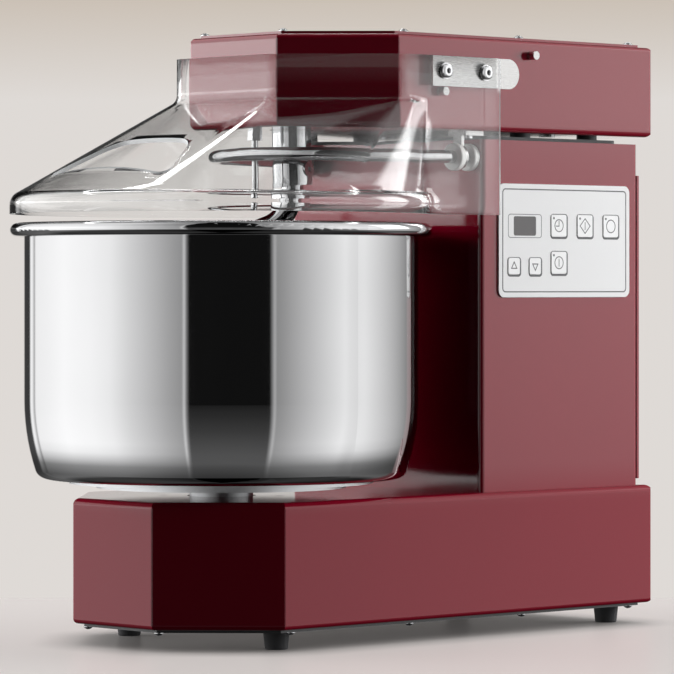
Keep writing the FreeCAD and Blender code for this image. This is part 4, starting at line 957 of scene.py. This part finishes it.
def mirrored_studio(sky, above):
    """What metal and clear sheet mirror: bright panels left and right of a dark gap at the camera, the table
    below them, a thin strip overhead and a bright post at the right."""
    ring = sky.by_bearing({
        -180: 0.4, -170: 0.4, -168: 0.04, -148: 0.04, -145: 0.95, -142: 0.95, -138: 0.4,
        -136: 1.0, -102: 1.23, -80: 1.17, -66: 1.07, -53: 0.83, -29: 0.46, -21: 0.36, -20: 0.7, -19: 0.7,
        -18: 0.007, 30.5: 0.007, 31.5: 0.55, 32.5: 0.55, 33.5: 0.34, 39: 0.42, 52: 0.64, 78: 1.09,
        85.5: 0.94, 92: 1.08, 100: 0.95, 131: 0.43, 148: 0.15, 168: 0.05, 170: 0.4, 180: 0.4})
    left = sky.by_height(sky.z, {1: 1.5, 2.4: 1.6, 2.75: 3.5, 3.8: 3.3, 7: 1.7, 30: 1.3, 90: 1.0})
    right = sky.by_height(sky.z, {0.5: 1.4, 2: 1.6, 9: 1.6, 30: 1.3, 90: 1.0})
    on_right = sky.by_part(sky.aside, {-0.1: 0.0, 0.1: 1.0})
    # An upright wall mirrors the foot of the panels as a level line
    lean = sky.z / ((sky.toward + (1 + foot_margin)) * 0.5).math("SQRT")
    foot = sky.by_height(lean, {-60: 0.04, -38: 0.05, -34.6: 0.2, -31: 0.55, -27: 0.88, -22: 1.0})
    rear = sky.by_part(sky.toward, {-0.9: 1.0, -0.76: 0.0})
    panels = ring * (left + on_right * (right - left)) * foot * (1 - above * rear * rear_shade)
    table = sky.by_height(sky.z, {-40: 0.0, -31: 0.16, -27: 0.15, -15: 0.07, -6: 0.03, -3: 0.0})
    strip = sky.by_height(sky.z, {47.9: 0.0, 48.7: 14.0, 49.6: 14.0, 50.4: 0.0})
    strip_side = sky.by_part(sky.toward, {-0.3: 1.0, -0.1: 0.0})
    post = sky.by_bearing({99: 0.0, 103: 4.5, 122: 4.5, 126: 0.0})
    post_height = sky.by_height(sky.z, {3.4: 0.0, 4.4: 1.0, 24: 1.0, 34: 0.0})
    return panels + table + strip * strip_side + post * post_height


def studio_light():
    """Mirrors show the studio and matt surfaces get an even fill. The camera sees the pale backdrop, straight
    through clear sheet too, and mirrors show it where they look away from the camera near the horizon."""
    world = bpy.data.worlds.new("studio")
    scene.world = world
    world.use_nodes = True
    sky = Sky(world.node_tree)
    seen = sky.ray("Is Camera Ray")
    through = sky.ray("Is Transmission Ray")
    unscattered = 1 - sky.ray("Diffuse Depth").math("MINIMUM", 1.0)
    unmirrored = 1 - sky.ray("Glossy Depth").math("MINIMUM", 1.0)
    mirrored = through.math("MAXIMUM", sky.ray("Is Glossy Ray")) * unscattered
    above = sky.by_height(sky.z, {4: 0.0, 6.5: 1.0})
    ahead = sky.by_part(sky.toward, {-0.984: 1.0, -0.96: 0.0}) * (1 - above)
    straight = through * unscattered * unmirrored
    plain = seen.math("MAXIMUM", straight).math("MAXIMUM", mirrored * ahead)
    level = mirrored * (mirrored_studio(sky, above) - fill_level) + fill_level
    grey = sky.node("ShaderNodeCombineColor", {}, {0: level, 1: level, 2: level})
    rise = (sky.z - backdrop_change) * backdrop_change_rate * seen
    backdrop = sky.colour_mix(rise, backdrop_low, backdrop_high)
    sky.plug(world.node_tree.nodes["Background"].inputs["Color"], sky.colour_mix(plain, grey, backdrop))


def softbox(name, place, size, power):
    """A large lamp that lights the machine without showing as a shape in the metal."""
    lamp = bpy.data.lights.new(name, "AREA")
    lamp.shape = "RECTANGLE"
    lamp.size, lamp.size_y = size
    lamp.energy = power
    box = placed(name, lamp)
    box.location = place
    box.rotation_euler = (Vector(lamp_aim) - Vector(place)).to_track_quat("-Z", "Y").to_euler()
    box.visible_glossy = False
    box.visible_camera = False
    box.visible_transmission = False


def beside(bearing, away, height):
    """A place round the machine, by its bearing from the camera."""
    turn = math.radians(bearing) + view_turn
    return (away * math.sin(turn), -away * math.cos(turn), height)


def lights():
    """A large lamp on each side, a little behind the machine, a weak one before it and one above it."""
    for name, bearing, power in side_lamps:
        softbox(name, beside(bearing, side_lamp_away, side_lamp_height), side_lamp_size, power)
    softbox("top_softbox", beside(180.0, top_lamp_behind, top_lamp_height), top_lamp_size, top_lamp_power)


def floor():
    """A pale table top whose rear edge shows a little behind the machine. Its glow carries a painted shadow,
    by ambient occlusion, where the machine comes close.
    """
    toward = Vector(beside(0.0, 1.0, 0.0))
    aside = Vector(beside(90.0, 1.0, 0.0))
    corners = [toward * near + aside * across for near, across in (
        (-table_behind, -table_half), (table_before, -table_half), (table_before, table_half),
        (-table_behind, table_half))]
    mesh = bpy.data.meshes.new("floor")
    mesh.from_pydata(corners, [], [(0, 1, 2, 3)])
    table = placed("floor", mesh)
    finish = Finish("floor", floor_colour, floor_roughness, emission_strength=1.0)
    grain = finish.noise(60.0, 3.0)
    darker = [(1 - floor_mottle) * level for level in floor_colour]
    lighter = [(1 + floor_mottle) * level for level in floor_colour]
    finish.vary_colour(grain, darker, lighter)
    # Painted shadow: ambient occlusion darkens the floor's glow where the machine comes close
    clear = finish.node("ShaderNodeAmbientOcclusion", {"samples": floor_shade_samples},
                        {"Distance": floor_shade_reach}, out="AO")
    finish.set("Emission Color", finish.colour_mix(clear, floor_shade, floor_glow))
    mesh.materials.append(finish.material)
    table.visible_glossy = False
    table.visible_diffuse = False


def camera():
    lens = bpy.data.cameras.new("camera")
    lens.lens = lens_mm
    lens.sensor_width = sensor_mm
    lens.shift_y = lens_shift
    lens.clip_end = sight_end
    eye = placed("camera", lens)
    eye.location = camera_place
    eye.rotation_euler = (math.pi / 2, 0.0, view_turn)
    scene.camera = eye


studio_light()
lights()
floor()
camera()
scene.view_settings.view_transform = "Standard"
